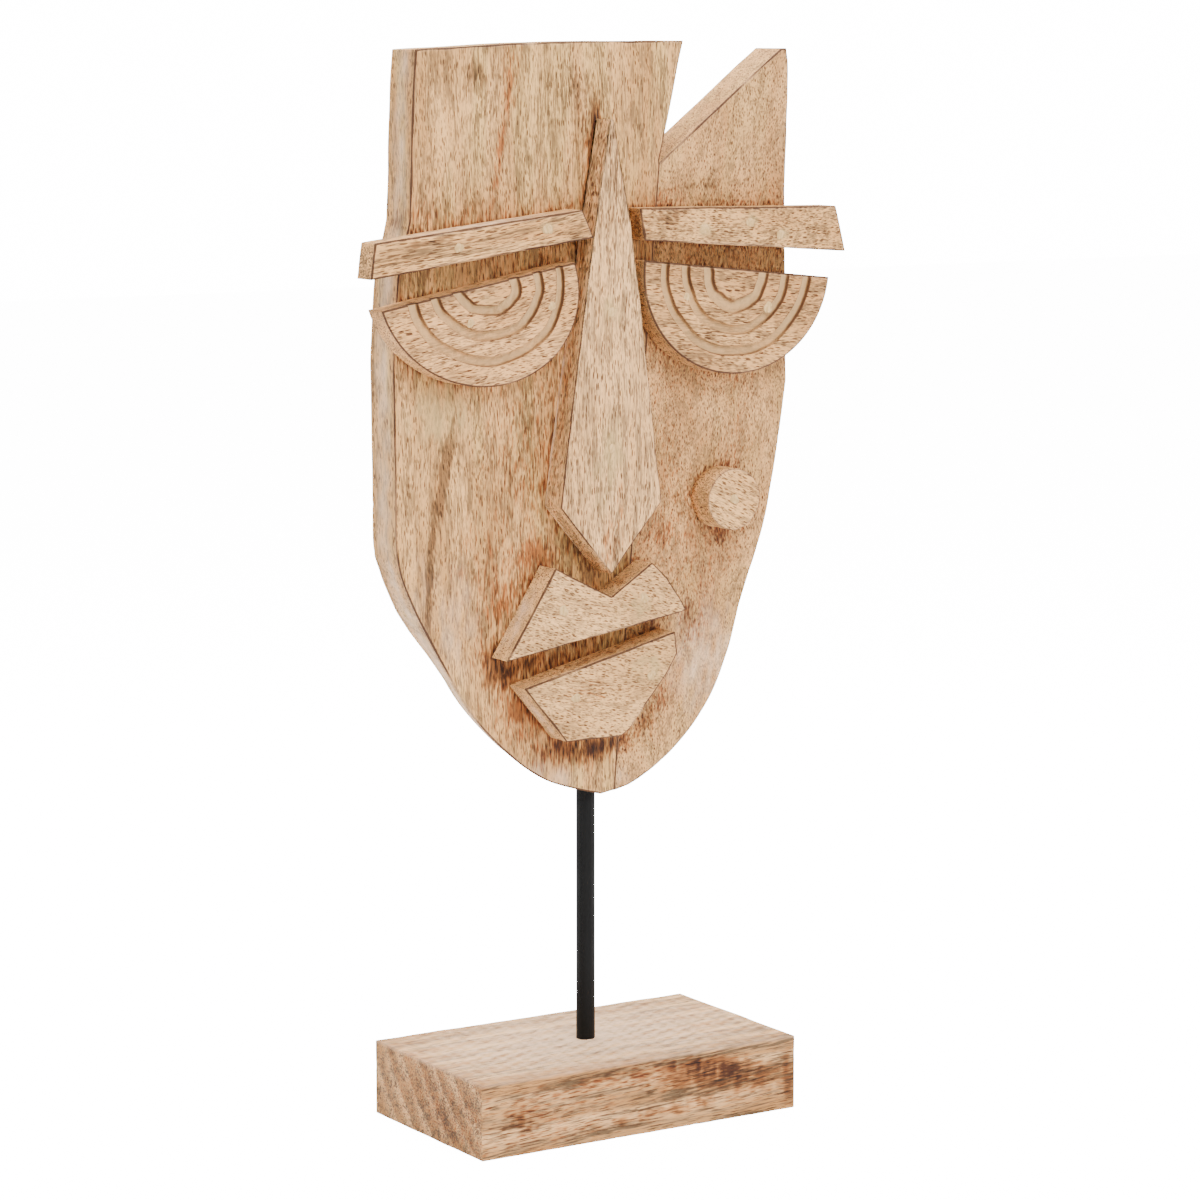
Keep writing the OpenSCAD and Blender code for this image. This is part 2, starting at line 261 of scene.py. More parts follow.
def mitres(loop: Array, limit: float = 2.2) -> Array:
    """Outward steps that move each side of a closed loop by one unit.

    Where points coincide, they take the direction of the last side that has a length.

    Args:
        loop: Points in order, anticlockwise, (n, 2).
        limit: Longest step at a sharp corner.

    Returns:
        Steps (n, 2).
    """
    ahead = np.roll(loop, -1, axis=0) - loop
    span = np.linalg.norm(ahead, axis=1)
    last = np.maximum.accumulate(np.where(span > NO_LENGTH, np.arange(len(loop)), 0))
    ahead = (ahead / np.maximum(span, 1e-12)[:, None])[last]
    outward = np.stack([ahead[:, 1], -ahead[:, 0]], axis=1)
    both = outward + np.roll(outward, 1, axis=0)
    steps = 2 * both / np.maximum((both * both).sum(1), 1e-6)[:, None]
    length = np.linalg.norm(steps, axis=1)[:, None]
    return steps * np.minimum(1, limit / length)


# ---------------------------------------------------------------- grids and meshes


def border_of(grid: Array) -> Array:
    """The four sides of a grid in order, from its first corner, each corner once."""
    return np.concatenate([grid[:, 0], grid[-1, 1:], grid[-2::-1, -1], grid[0, -2:0:-1]])


def four_sided(loop: Array, across: Array, up: Array) -> Array:
    """Fills a closed loop of four sides with a grid.

    Each point is the blend between the left and right sides, plus the blend between
    the bottom and top sides, less the blend between the four corners.

    Args:
        loop: Points of the bottom, right, top and left sides in order.
        across: Shares along the bottom and top sides.
        up: Shares along the left and right sides.

    Returns:
        Grid (across, up, 2).
    """
    m, n = len(across), len(up)
    bottom, right = loop[:m], loop[m - 1:m + n - 1]
    top = loop[m + n - 2:2 * m + n - 2][::-1]
    left = np.append(loop[2 * m + n - 3:], loop[:1], 0)[::-1]
    u, v = across[:, None, None], up[None, :, None]
    sides = (1 - u) * left[None] + u * right[None]
    ends = (1 - v) * bottom[:, None] + v * top[:, None]
    corners = ((1 - u) * (1 - v) * bottom[0] + u * (1 - v) * bottom[-1]
               + (1 - u) * v * top[0] + u * v * top[-1])
    return sides + ends - corners


def quads(rows: int, columns: int, first: int = 0, closed: bool = False) -> Array:
    """Corner numbers of the quads of a grid stored row by row.

    Args:
        rows: Rows of points.
        columns: Points in a row.
        first: Number of the grid's first point.
        closed: Whether the last column joins the first.

    Returns:
        Corner numbers (n, 4).
    """
    number = first + np.arange(rows * columns).reshape(rows, columns)
    if closed:
        number = np.append(number, number[:, :1], axis=1)
    parts = [number[:-1, :-1], number[1:, :-1], number[1:, 1:], number[:-1, 1:]]
    return np.stack(parts, axis=-1).reshape(-1, 4)


def shown(name: str, data: bpy.types.ID) -> bpy.types.Object:
    """Puts a mesh, a lamp or a camera in the scene as an object."""
    made = bpy.data.objects.new(name, data)
    bpy.context.scene.collection.objects.link(made)
    return made


@dataclass
class Surface:
    """Grids of points that make one closed piece, with a value of each kind per point."""

    points: list[Array] = field(default_factory=list)
    faces: list[Array] = field(default_factory=list)
    values: dict[str, list[Array]] = field(default_factory=dict)
    count: int = 0

    def add(self, grid: Array, closed: bool = False, **values: Array) -> None:
        """Adds a grid (rows, columns, 3) of points and its values (rows, columns).

        Args:
            grid: The points.
            closed: Whether its last column joins its first.
            values: A value of each kind for every point.
        """
        rows, columns = grid.shape[:2]
        self.points.append(grid.reshape(-1, 3))
        self.faces.append(quads(rows, columns, self.count, closed))
        for name, value in values.items():
            spread = np.broadcast_to(value, (rows, columns)).reshape(-1)
            self.values.setdefault(name, []).append(spread)
        self.count += rows * columns

    def all_points(self) -> Array:
        """Every point so far, (n, 3)."""
        return np.concatenate(self.points)

    def object(self, name: str, **extra: Array) -> bpy.types.Object:
        """Makes the mesh object, merges its doubles and turns its faces outwards.

        Args:
            name: Name of the object.
            extra: More values, one for each point.

        Returns:
            The object, at the origin, smooth shaded.
        """
        mesh = bpy.data.meshes.new(name)
        mesh.from_pydata(self.all_points(), [], np.concatenate(self.faces).tolist())
        joined = {kind: np.concatenate(parts) for kind, parts in self.values.items()}
        for kind, value in {**joined, **extra}.items():
            layer = mesh.attributes.new(kind, "FLOAT", "POINT")
            layer.data.foreach_set("value", value.astype(np.float32))
        form = bmesh.new()
        form.from_mesh(mesh)
        bmesh.ops.remove_doubles(form, verts=form.verts, dist=MERGED)
        bmesh.ops.recalc_face_normals(form, faces=form.faces)
        form.to_mesh(mesh)
        form.free()
        mesh.polygons.foreach_set("use_smooth", np.ones(len(mesh.polygons), bool))
        return shown(name, mesh)


# ---------------------------------------------------------------- marks on the wood


class Stain(Enum):
    """Kinds of mark on the wood; each is a value on the mesh that the finish reads."""

    # Bleach also carries painted light on some faces, and scorch and rust carry painted shade at the
    # foot of raised pieces.
    SCORCH = "scorch"
    RUST = "rust"
    WEATHER = "weather"
    BLEACH = "bleach"
    RESIN = "resin"

    @property
    def label(self) -> str:
        """Name of the stain on the sockets of a node group."""
        return self.value.capitalize()


@dataclass(frozen=True)
class Mark:
    """Soft oval patch of stain.

    Attributes:
        stain: What the mark is.
        x: Its middle to the right of the stand's axis, in millimetres.
        z: Its middle above the floor, in millimetres.
        half_width: Half width of the oval, in millimetres.
        half_height: Half height of the oval, in millimetres.
        turn: Turn of the oval in degrees, anticlockwise.
        strength: Amount at its middle.
        y: Its middle in depth, in millimetres.
        half_depth: Half depth that it reaches, in millimetres.
    """

    stain: Stain
    x: float
    z: float
    half_width: float
    half_height: float
    turn: float = 0.0
    strength: float = 1.0
    y: float = -20.0
    half_depth: float = 22.0

    def amount(self, points: Array) -> Array:
        """Amount of stain at each point: a bell curve over the oval and its depth.

        Args:
            points: Places (n, 3).

        Returns:
            One amount for each point.
        """
        x = points[:, 0] - self.x * MM
        z = points[:, 2] - self.z * MM
        angle = math.radians(self.turn)
        across = (x * math.cos(angle) + z * math.sin(angle)) / (self.half_width * MM)
        along = (z * math.cos(angle) - x * math.sin(angle)) / (self.half_height * MM)
        deep = (points[:, 1] - self.y * MM) / (self.half_depth * MM)
        return self.strength * np.exp(-(across**2 + along**2 + deep**2))


def patches(**kinds: tuple[tuple[float, ...], ...]) -> tuple[Mark, ...]:
    """Marks of each kind of stain, each given by the numbers of a mark in their order."""
    return tuple(Mark(Stain(kind), *numbers) for kind, rows in kinds.items() for numbers in rows)


def stains(points: Array, marks: tuple[Mark, ...]) -> dict[str, Array]:
    """Amount of each kind of stain at each point, with ragged edges.

    Args:
        points: Places (n, 3).
        marks: The marks on the piece.

    Returns:
        A value for every kind of stain, zero where the piece has no such mark.
    """
    ragged = 1 + 0.35 * ripple(points * [1, 1, 0.3], 5 * MM, 5)
    amounts = {kind.value: np.zeros(len(points)) for kind in Stain}
    for mark in marks:
        amounts[mark.stain.value] += mark.amount(points) * ragged
    return amounts


def gap_to(points: Array, loop: Array) -> Array:
    """Distance on the face from each point to the nearest side of an outline.

    Args:
        points: Places (n, 3).
        loop: Corners of the outline (m, 2).

    Returns:
        One distance for each point.
    """
    start, step = loop, np.roll(loop, -1, axis=0) - loop
    offset = points[:, None, [0, 2]] - start[None]
    share = (offset * step).sum(-1) / (step * step).sum(-1)
    near = offset - np.clip(share, 0, 1)[..., None] * step
    return np.linalg.norm(near, axis=-1).min(axis=1)


# ---------------------------------------------------------------- shader nodes


class Nodes:
    """Adds nodes to one shader tree and joins them up."""

    def __init__(self, tree: bpy.types.NodeTree) -> None:
        """Takes the tree to build in."""
        self.tree = tree

    def plug(self, socket: Socket, value: Any) -> None:
        """Joins a socket to another socket, or sets it to a plain value.

        Args:
            socket: The input to fill.
            value: Another socket, a number, or the numbers of a vector or colour.
        """
        if isinstance(value, bpy.types.NodeSocket):
            self.tree.links.new(value, socket)
        elif hasattr(socket.default_value, "__len__") and len(socket.default_value) == 4:
            socket.default_value = (*value, 1.0)[:4]
        else:
            socket.default_value = value

    def add(self, kind: str, inputs: dict[str, Any] | None = None,
            **settings: Any) -> bpy.types.Node:
        """Adds a node, sets its own settings and plugs its inputs by name.

        Args:
            kind: Type name of the node, less the ShaderNode before it.
            inputs: Value or socket for each named input.
            settings: Properties of the node.

        Returns:
            The node.
        """
        made = self.tree.nodes.new("ShaderNode" + kind)
        for name, value in settings.items():
            setattr(made, name, value)
        for name, value in (inputs or {}).items():
            self.plug(made.inputs[name], value)
        return made

    def calc(self, operation: str, *values: Any, kind: str = "Math", output: str = "Value",
             **settings: Any) -> Socket:
        """Result of a Math node, or another kind that has an operation, on its inputs.

        Args:
            operation: What the node works out.
            values: Its inputs in order.
            kind: Kind of node.
            output: Name of the output that is wanted.
            settings: Other properties of the node.

        Returns:
            The output.
        """
        made = self.add(kind, operation=operation, **settings)
        for socket, value in zip(made.inputs, values):
            self.plug(socket, value)
        return made.outputs[output]

    def vector(self, operation: str, *values: Any) -> Socket:
        """Vector that a Vector Math node makes of its inputs."""
        return self.calc(operation, *values, kind="VectorMath", output="Vector")

    def length(self, vector: Socket) -> Socket:
        """Length of a vector."""
        return self.calc("LENGTH", vector, kind="VectorMath")

    def times(self, first: Any, second: Any) -> Socket:
        """Product of two numbers."""
        return self.calc("MULTIPLY", first, second)

    def mix(self, amount: Any, first: Any, second: Any, blend: str = "MIX") -> Socket:
        """Colour mixed from two colours by an amount.

        Args:
            amount: Share of the second colour.
            first: Colour at 0.
            second: Colour at 1.
            blend: Type name of the way they are mixed.

        Returns:
            The mixed colour.
        """
        made = self.add("Mix", data_type="RGBA", blend_type=blend)
        for number, value in zip(MIX_SOCKETS, (amount, first, second)):
            self.plug(made.inputs[number], value)
        return made.outputs[MIX_RESULT]

    def rise(self, value: Any, start: float, end: float, low: float = 0.0,
             high: float = 1.0) -> Socket:
        """Value that goes smoothly from low to high as the input goes from start to end.

        Args:
            value: The input.
            start: Input at which the rise starts.
            end: Input at which it ends.
            low: Value before the start.
            high: Value after the end.

        Returns:
            The value.
        """
        inputs = {"Value": value, "From Min": start, "From Max": end, "To Min": low,
                  "To Max": high}
        return self.add("MapRange", inputs, interpolation_type="SMOOTHSTEP").outputs[0]

    def stretch(self, vector: Any, x: Any, y: Any, z: Any) -> Socket:
        """Vector divided by a size along each axis."""
        size = self.add("CombineXYZ", {"X": x, "Y": y, "Z": z}).outputs[0]
        return self.vector("DIVIDE", vector, size)

    def cloud(self, vector: Any, wide: Any, long: Any, detail: float = 2.0,
              output: str = "Fac") -> Socket:
        """Noise whose patches are so wide across the grain and so long along it.

        Args:
            vector: Place, with the grain along Z.
            wide: Size of the patches across the grain.
            long: Size of the patches along it.
            detail: How many finer sizes are added.
            output: Fac for a number, Color for three.

        Returns:
            The noise.
        """
        laid = self.stretch(vector, wide, wide, long)
        return self.add("TexNoise", {
            "Vector": laid, "Scale": 1.0, "Detail": detail}).outputs[output]

    def group(self, tree: bpy.types.NodeTree, **inputs: Any) -> bpy.types.Node:
        """Places a group; an input's name has its spaces as underscores."""
        named = {label.replace("_", " "): value for label, value in inputs.items()}
        return self.add("Group", named, node_tree=tree)


class Group(Nodes):
    """A node group in the making, with its inputs by name in given."""

    def __init__(self, name: str, inputs: dict[str, Any], outputs: dict[str, str]) -> None:
        """Starts the group.

        Args:
            name: Name of the group.
            inputs: Default of each named input: a number, or three for a vector or colour.
                A name that ends in Colour is a colour.
            outputs: Kind of each named output: Float, Color or Vector.
        """
        super().__init__(bpy.data.node_groups.new(name, "ShaderNodeTree"))
        sockets = self.tree.interface
        for label, default in inputs.items():
            plain = isinstance(default, float)
            kind = "Float" if plain else "Color" if label.endswith("Colour") else "Vector"
            socket = sockets.new_socket(label, in_out="INPUT", socket_type="NodeSocket" + kind)
            if plain:
                socket.default_value = default
        for label, kind in outputs.items():
            sockets.new_socket(label, in_out="OUTPUT", socket_type="NodeSocket" + kind)
        self.given = self.tree.nodes.new("NodeGroupInput").outputs
        self.end = self.tree.nodes.new("NodeGroupOutput")

    def give(self, **results: Socket) -> bpy.types.NodeTree:
        """Joins the results to the group's outputs and returns its tree."""
        for label, value in results.items():
            self.plug(self.end.inputs[label], value)
        return self.tree


class Finish(Nodes):
    """A material in the making, with its Principled shader joined to the output."""

    def __init__(self, name: str) -> None:
        """Starts the material.

        Args:
            name: Name of the material.
        """
        self.material = bpy.data.materials.new(name)
        self.material.use_nodes = True
        super().__init__(self.material.node_tree)
        self.tree.nodes.clear()
        self.shader = self.add("BsdfPrincipled")
        self.plug(self.add("OutputMaterial").inputs[0], self.shader.outputs[0])

    def place(self) -> Socket:
        """Place on the object."""
        return self.add("TexCoord").outputs["Object"]

    def value(self, name: str) -> Socket:
        """Value that the mesh carries under a name."""
        return self.add("Attribute", attribute_name=name).outputs["Fac"]

    def dress(self, **inputs: Any) -> bpy.types.Material:
        """Plugs the shader's inputs, with underscores for spaces, and returns the material."""
        for label, value in inputs.items():
            self.plug(self.shader.inputs[label.replace("_", " ")], value)
        return self.material

    def bump(self, height: Socket, strength: float, distance: float) -> Socket:
        """Normal of a surface that stands out by a height."""
        return self.add("Bump", {
            "Height": height, "Strength": strength, "Distance": distance}).outputs[0]


def grain_group() -> bpy.types.NodeTree:
    """Wood grain along Z: warped space, growth bands, fibres, streaks and broad clouds.

    Returns:
        The group's tree.
    """
    group = Group("Wood grain", {
        "Vector": (0, 0, 0), "Waver": 1.0, "Ring Pitch": 7 * MM, "Fibre Length": 12 * MM}, {
        "Space": "Vector", "Band": "Float", "Fibre": "Float", "Cloud": "Float",
        "Streak": "Float"})
    where, reach = group.given["Vector"], group.given["Fibre Length"]
    slow = group.cloud(where, 22 * MM, 90 * MM, 1.0, "Color")
    push = group.add("VectorMath", {
        "Vector": group.vector("SUBTRACT", slow, (0.5, 0.5, 0.5)),
        "Scale": group.times(group.given["Waver"], 9 * MM)}, operation="SCALE")
    space = group.vector("ADD", where, push.outputs[0])
    radius = group.length(group.vector("MULTIPLY", space, (1, 1, 0.02)))
    turns = group.calc("FRACT", group.calc("DIVIDE", radius, group.given["Ring Pitch"]))
    fine = group.cloud(space, 0.9 * MM, reach, 3.0)
    coarse = group.cloud(space, 5 * MM, group.times(reach, 4.0), 1.0)
    return group.give(
        Space=space,
        Band=group.times(group.rise(turns, 0.0, 0.72), group.rise(turns, 1.0, 0.82)),
        Fibre=group.calc("ADD", group.times(fine, 0.65), group.times(coarse, 0.35)),
        Cloud=group.cloud(where, 28 * MM, 75 * MM),
        Streak=group.cloud(space, 1.1 * MM, 7 * MM, 1.0))


def pore_group() -> bpy.types.NodeTree:
    """Open pores: one slim dash along the grain in a share of the cells of a pattern.

    Returns:
        The group's tree.
    """
    group = Group("Wood pores", {
        "Vector": (0, 0, 0), "Spacing": 1.2 * MM, "Stretch": 3.0, "Width": 0.25,
        "Length": 0.4, "Share": 0.9}, {"Mask": "Float"})
    given = group.given
    spacing = given["Spacing"]
    laid = group.stretch(given["Vector"], spacing, spacing,
                         group.times(spacing, given["Stretch"]))
    cells = group.add("TexVoronoi", {"Vector": laid, "Scale": 1.0, "Randomness": 0.85})
    chance, size, depth = group.add("SeparateColor", {"Color": cells.outputs["Color"]}).outputs
    offset = group.vector("SUBTRACT", laid, cells.outputs["Position"])
    half = group.times(given["Width"], group.rise(size, 0.0, 1.0, 0.7, 1.3))
    out = group.length(group.stretch(offset, half, group.times(half, 1.6), given["Length"]))
    there = group.times(group.rise(out, 1.0, 0.7), group.calc(
        "LESS_THAN", chance, given["Share"]))
    return group.give(Mask=group.times(there, group.rise(depth, 0.0, 1.0, 0.55, 1.0)))


class Blend(Enum):
    """Ways that a stain takes to the wood."""

    OVER = "MIX"
    INTO = "MULTIPLY"


@dataclass(frozen=True)
class Soak:
    """How a stain looks on the wood.

    Attributes:
        stain: The stain.
        tint: Its colour.
        ragged: How far the streaks of the grain break up its edge.
        start: Amount at which it begins to show.
        full: Amount at which it shows in full.
        cover: How much of it shows at most.
        blend: Whether it lies over the wood or soaks in, so that the grain shows through.
    """

    stain: Stain
    tint: Colour
    ragged: float
    start: float
    full: float
    cover: float = 1.0
    blend: Blend = Blend.INTO


# Bleach here also paints light on some faces, and scorch and rust also paint shade at the foot of
# raised pieces.
SOAKS = (
    Soak(Stain.BLEACH, (0.83, 0.56, 0.355), 0.35, 0.1, 1.1, 0.75, Blend.OVER),
    Soak(Stain.RESIN, (0.50, 0.33, 0.13), 0.7, 0.1, 0.8, 0.6, Blend.OVER),
    Soak(Stain.WEATHER, (0.38, 0.34, 0.32), 2.0, 0.1, 0.9),
    Soak(Stain.RUST, (0.52, 0.33, 0.22), 2.6, 0.0, 1.1),
    Soak(Stain.SCORCH, (0.52, 0.37, 0.26), 1.5, 0.0, 0.8),
    Soak(Stain.SCORCH, (0.16, 0.11, 0.09), 2.4, 0.5, 1.7),
)


def stain_group() -> bpy.types.NodeTree:
    """Marks over the wood, one soak after the other; scorch, which on the boards and cheek disc also
    holds painted shade, tans first and then chars.

    Returns:
        The group's tree.
    """
    group = Group("Wood stains", {
        "Colour": (0, 0, 0), "Broken": 0.5, **{kind.label: 0.0 for kind in Stain}},
        {"Colour": "Color"})
    streak = group.calc("SUBTRACT", group.given["Broken"], 0.5)
    colour = group.given["Colour"]
    for soak in SOAKS:
        amount = group.given[soak.stain.label]
        broken = group.calc("ADD", amount, group.times(streak, soak.ragged))
        mask = group.times(group.rise(broken, soak.start, soak.full),
                           group.rise(amount, 0.0, 0.15))
        colour = group.mix(group.times(mask, soak.cover), colour, soak.tint, soak.blend.value)
    return group.give(Colour=colour)


def arris_group() -> bpy.types.NodeTree:
    """Arrises rubbed pale in places by wear, with a thin dark line of painted shadow and dirt in
    others.

    Returns:
        The group's tree.
    """
    group = Group("Worn and shaded arris", {
        "Colour": (0, 0, 0), "Edge": 0.0, "Broken": 0.5, "Dark": 0.5, "Pale": 0.5},
        {"Colour": "Color"})
    given = group.given
    rubbed = group.times(group.rise(given["Edge"], 0.2, 0.9), given["Pale"])
    # Painted shadow and dirt: a thin dark line along the arris, broken up by the grain.
    line = group.times(group.rise(given["Edge"], 0.5, 0.85),
                       group.rise(given["Broken"], 0.33, 0.50, 0.25, 1.0))
    return group.give(Colour=group.mix(group.times(line, given["Dark"]), group.mix(
        rubbed, given["Colour"], RUBBED), SHADOW_AND_DIRT_LINE))


class Groups:
    """The node groups that the finishes share, each built once."""

    def __init__(self) -> None:
        """Builds the groups."""
        self.grain = grain_group()
        self.pores = pore_group()
        self.stains = stain_group()
        self.arris = arris_group()


@dataclass(frozen=True)
class Wood:
    """Bare sanded mango wood.

    Attributes:
        pale: Colour of the light wood.
        warm: Colour of the bands and clouds.
        pore: Colour of the open pores.
        tint: How olive some of the bands are.
        grain: Direction of the fibres.
        pith: Where the growth rings are centred, off the piece's middle, in millimetres.
        ring: Pitch of the growth rings.
        bands: How strongly the growth bands show.
        clouds: How strongly the broad clouds show.
        fibres: How strongly the fine fibres show.
        spacing: Distance between pores across the grain.
        stretch: Length of a pore's cell for its width.
        width: Half width of a pore for its cell.
        length: Half length of a pore for its cell.
        share: Share of the cells that hold a pore.
        depth: How dark the pores are.
        waver: How much the grain wanders.
        reach: Length of the fine fibre lines.
        relief: How strongly the fibres and pores stand out.
        arris_shadow_and_dirt: How dark the lines of painted shadow and dirt along the arrises are.
        pale_arris: How pale the rubbed arrises are.
        olive: Colour of the olive bands.
        cut: Colour of the floor of a carved ring.
        groove_shade: Colour of the line of painted shade along a carved ring's edges.
    """

    pale: Colour = (0.70, 0.380, 0.145)
    warm: Colour = (0.44, 0.210, 0.070)
    pore: Colour = (0.085, 0.034, 0.012)
    tint: float = 0.0
    grain: tuple[float, float, float] = (0.0, 0.0, 1.0)
    pith: tuple[float, float] = (60.0, 90.0)
    ring: float = 7 * MM
    bands: float = 0.25
    clouds: float = 0.6
    fibres: float = 0.5
    spacing: float = 1.25 * MM
    stretch: float = 2.4
    width: float = 0.30
    length: float = 0.42
    share: float = 0.95
    depth: float = 0.95
    waver: float = 1.0
    reach: float = 12 * MM
    relief: float = 0.9
    arris_shadow_and_dirt: float = 0.95
    pale_arris: float = 0.25
    olive: Colour = (0.50, 0.305, 0.105)
    cut: Colour = (0.50, 0.300, 0.130)
    groove_shade: Colour = (0.075, 0.026, 0.008)

    def material(self, name: str, groups: Groups, middle: Vector) -> bpy.types.Material:
        """Builds the material, with the grain turned to its direction about the middle.

        Args:
            name: Name of the material.
            groups: The shared node groups.
            middle: Middle of the piece.

        Returns:
            The material.
        """
        finish = Finish(name)
        turn = Vector(self.grain).rotation_difference(Vector((0, 0, 1)))
        pith = Vector((self.pith[0] * MM, self.pith[1] * MM, 0))
        laid = finish.add("Mapping", {
            "Vector": finish.place(), "Rotation": turn.to_euler(),
            "Location": pith - turn @ middle}).outputs[0]
        grain = finish.group(groups.grain, Vector=laid, Waver=self.waver,
                             Ring_Pitch=self.ring, Fibre_Length=self.reach).outputs
        floor = finish.value("floor")
        pores = self.pores(finish, groups, grain["Space"], floor)
        colour = self.figure(finish, grain)
        colour = finish.mix(finish.times(pores, self.depth), colour, self.pore)
        colour = finish.mix(finish.times(floor, finish.rise(
            grain["Cloud"], 0.3, 0.65, 0.45, 0.95)), colour, self.cut)
        # Painted shade: a dark line along the edges of each carved ring.
        colour = finish.mix(finish.times(
            finish.rise(finish.value("line"), 0.25, 0.9),
            finish.rise(grain["Cloud"], 0.35, 0.6, 0.35, 0.95)), colour, self.groove_shade)
        amounts = {kind.label: finish.value(kind.value) for kind in Stain}
        marked = finish.group(groups.stains, Colour=colour, Broken=grain["Streak"], **amounts)
        # Rubbed pale arrises, and a dark line of painted shadow and dirt along them.
        worn = finish.group(groups.arris, Colour=marked.outputs["Colour"],
                            Edge=finish.value("edge"), Broken=grain["Cloud"],
                            Dark=self.arris_shadow_and_dirt, Pale=self.pale_arris)
        open_grain = finish.calc("ADD", pores, grain["Fibre"])
        height = finish.calc("SUBTRACT", finish.times(grain["Fibre"], 0.6), pores)
        return finish.dress(
            Base_Color=worn.outputs["Colour"], Specular_IOR_Level=0.2,
            Roughness=finish.calc("ADD", 0.58, finish.times(open_grain, 0.16)),
            Normal=finish.bump(height, self.relief, 0.45 * MM))

    def figure(self, finish: Finish, grain: bpy.types.bpy_prop_collection) -> Socket:
        """Colour of the grain's bands, clouds, fibres and olive streaks.

        Args:
            finish: The material in the making.
            grain: Outputs of the grain group.

        Returns:
            The colour.
        """
        fibre = grain["Fibre"]
        bands = finish.times(grain["Band"], self.bands)
        clouds = finish.times(finish.rise(grain["Cloud"], 0.35, 0.68), self.clouds)
        lines = finish.times(finish.calc("SUBTRACT", fibre, 0.5), 4.5 * self.fibres)
        dark = finish.calc("ADD", bands, clouds, use_clamp=True)
        dark = finish.calc("ADD", dark, lines, use_clamp=True)
        streaks = finish.rise(finish.cloud(grain["Space"], 14 * MM, 160 * MM, 1.0), 0.48, 0.62)
        colour = finish.mix(dark, self.pale, self.warm)
        colour = finish.mix(finish.times(streaks, self.tint), colour, self.olive)
        shade = finish.rise(fibre, 0.38, 0.60, 1.0 - 0.8 * self.fibres, 1.0 + 0.45 * self.fibres)
        grey = finish.add("CombineColor", dict.fromkeys(("Red", "Green", "Blue"), shade))
        return finish.mix(1.0, colour, grey.outputs[0], "MULTIPLY")

    def pores(self, finish: Finish, groups: Groups, space: Socket, floor: Socket) -> Socket:
        """Mask of the pores and of finer specks, faint on the floor of a carved ring.

        Args:
            finish: The material in the making.
            groups: The shared node groups.
            space: Place along the grain.
            floor: 1 on the floor of a carved ring.

        Returns:
            The mask.
        """
        pores, specks = (finish.group(
            groups.pores, Vector=space, Spacing=size * self.spacing, Stretch=self.stretch,
            Width=self.width, Length=self.length, Share=share).outputs[0]
            for size, share in ((1.0, self.share), (0.63, 0.8)))
        mask = finish.calc("ADD", pores, finish.times(specks, 0.7), use_clamp=True)
        return finish.times(mask, finish.calc("SUBTRACT", 1.0, finish.times(floor, 0.85)))


@dataclass(frozen=True)
class Putty:
    """Pale wood filler smeared over the sunk nail heads."""

    light: Colour = (0.60, 0.370, 0.150)
    dark: Colour = (0.45, 0.265, 0.090)

    def material(self) -> bpy.types.Material:
        """Builds the material: mottled and slightly gritty.

        Returns:
            The material.
        """
        finish = Finish("wood_filler")
        grit = finish.cloud(finish.place(), 1.2 * MM, 2.4 * MM, 3.0)
        return finish.dress(
            Base_Color=finish.mix(finish.rise(grit, 0.35, 0.65), self.light, self.dark),
            Roughness=finish.rise(grit, 0.2, 0.8, 0.6, 0.8),
            Normal=finish.bump(grit, 0.3, 0.1 * MM))


@dataclass(frozen=True)
class Metal:
    """Metal with a fine finish over it.

    Attributes:
        colour: Colour of the finish.
        metallic: 1 for bare metal, 0 for paint.
        rough: Middling roughness.
        grit: Size of the finish's grain.
    """

    colour: Colour
    metallic: float
    rough: float
    grit: float

    def material(self, name: str) -> bpy.types.Material:
        """Builds the material: uneven sheen and a fine texture.

        Args:
            name: Name of the material.

        Returns:
            The material.
        """
        finish = Finish(name)
        where = finish.place()
        grain = finish.cloud(where, self.grit, self.grit)
        worn = finish.cloud(where, 9 * MM, 30 * MM, 3.0)
        lighter = tuple(min(1.0, 1.7 * part) for part in self.colour)
        return finish.dress(
            Base_Color=finish.mix(finish.rise(worn, 0.35, 0.75), self.colour, lighter),
            Roughness=finish.rise(worn, 0.3, 0.7, self.rough - 0.08, self.rough + 0.08),
            Metallic=self.metallic, Specular_IOR_Level=0.15,
            Normal=finish.bump(grain, 0.35, 0.05 * MM))


# ---------------------------------------------------------------- pieces


ARC = np.radians([0.0, 22.5, 45.0, 67.5, 90.0])
EASED_OUT, EASED_DOWN = np.sin(ARC), 1 - np.cos(ARC)


def facing_viewer(flat: Array, depth: Array) -> Array:
    """Places for x, z and a depth that grows away from the viewer."""
    return np.stack([flat[..., 0], depth, flat[..., 1]], axis=-1)


def facing_up(flat: Array, depth: Array) -> Array:
    """Places for x, y and a depth that grows downwards."""
    return np.stack([flat[..., 0], flat[..., 1], -depth], axis=-1)


@dataclass
class Piece:
    """What every piece of the object has.

    Attributes:
        node: Node of the frame that the piece stands for.
        body: Body that it moves with.
        slot: Name of the piece's material slot. Not used.
    """

    node: str
    body: str
    slot: str

    def middle(self) -> Vector:
        """Middle of the node's box."""
        low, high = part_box(self.node)
        return (low + high) / 2

    def settle(self, piece: bpy.types.Object, material: bpy.types.Material) -> None:
        """Dresses the piece, hands it to its body and reports it.

        Args:
            piece: The finished mesh object.
            material: Its finish.
        """
        piece.data.materials.append(material)
        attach(piece, self.body)
        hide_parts(self.node)
        LOG.info("%s: %d faces", piece.name, len(piece.data.polygons))


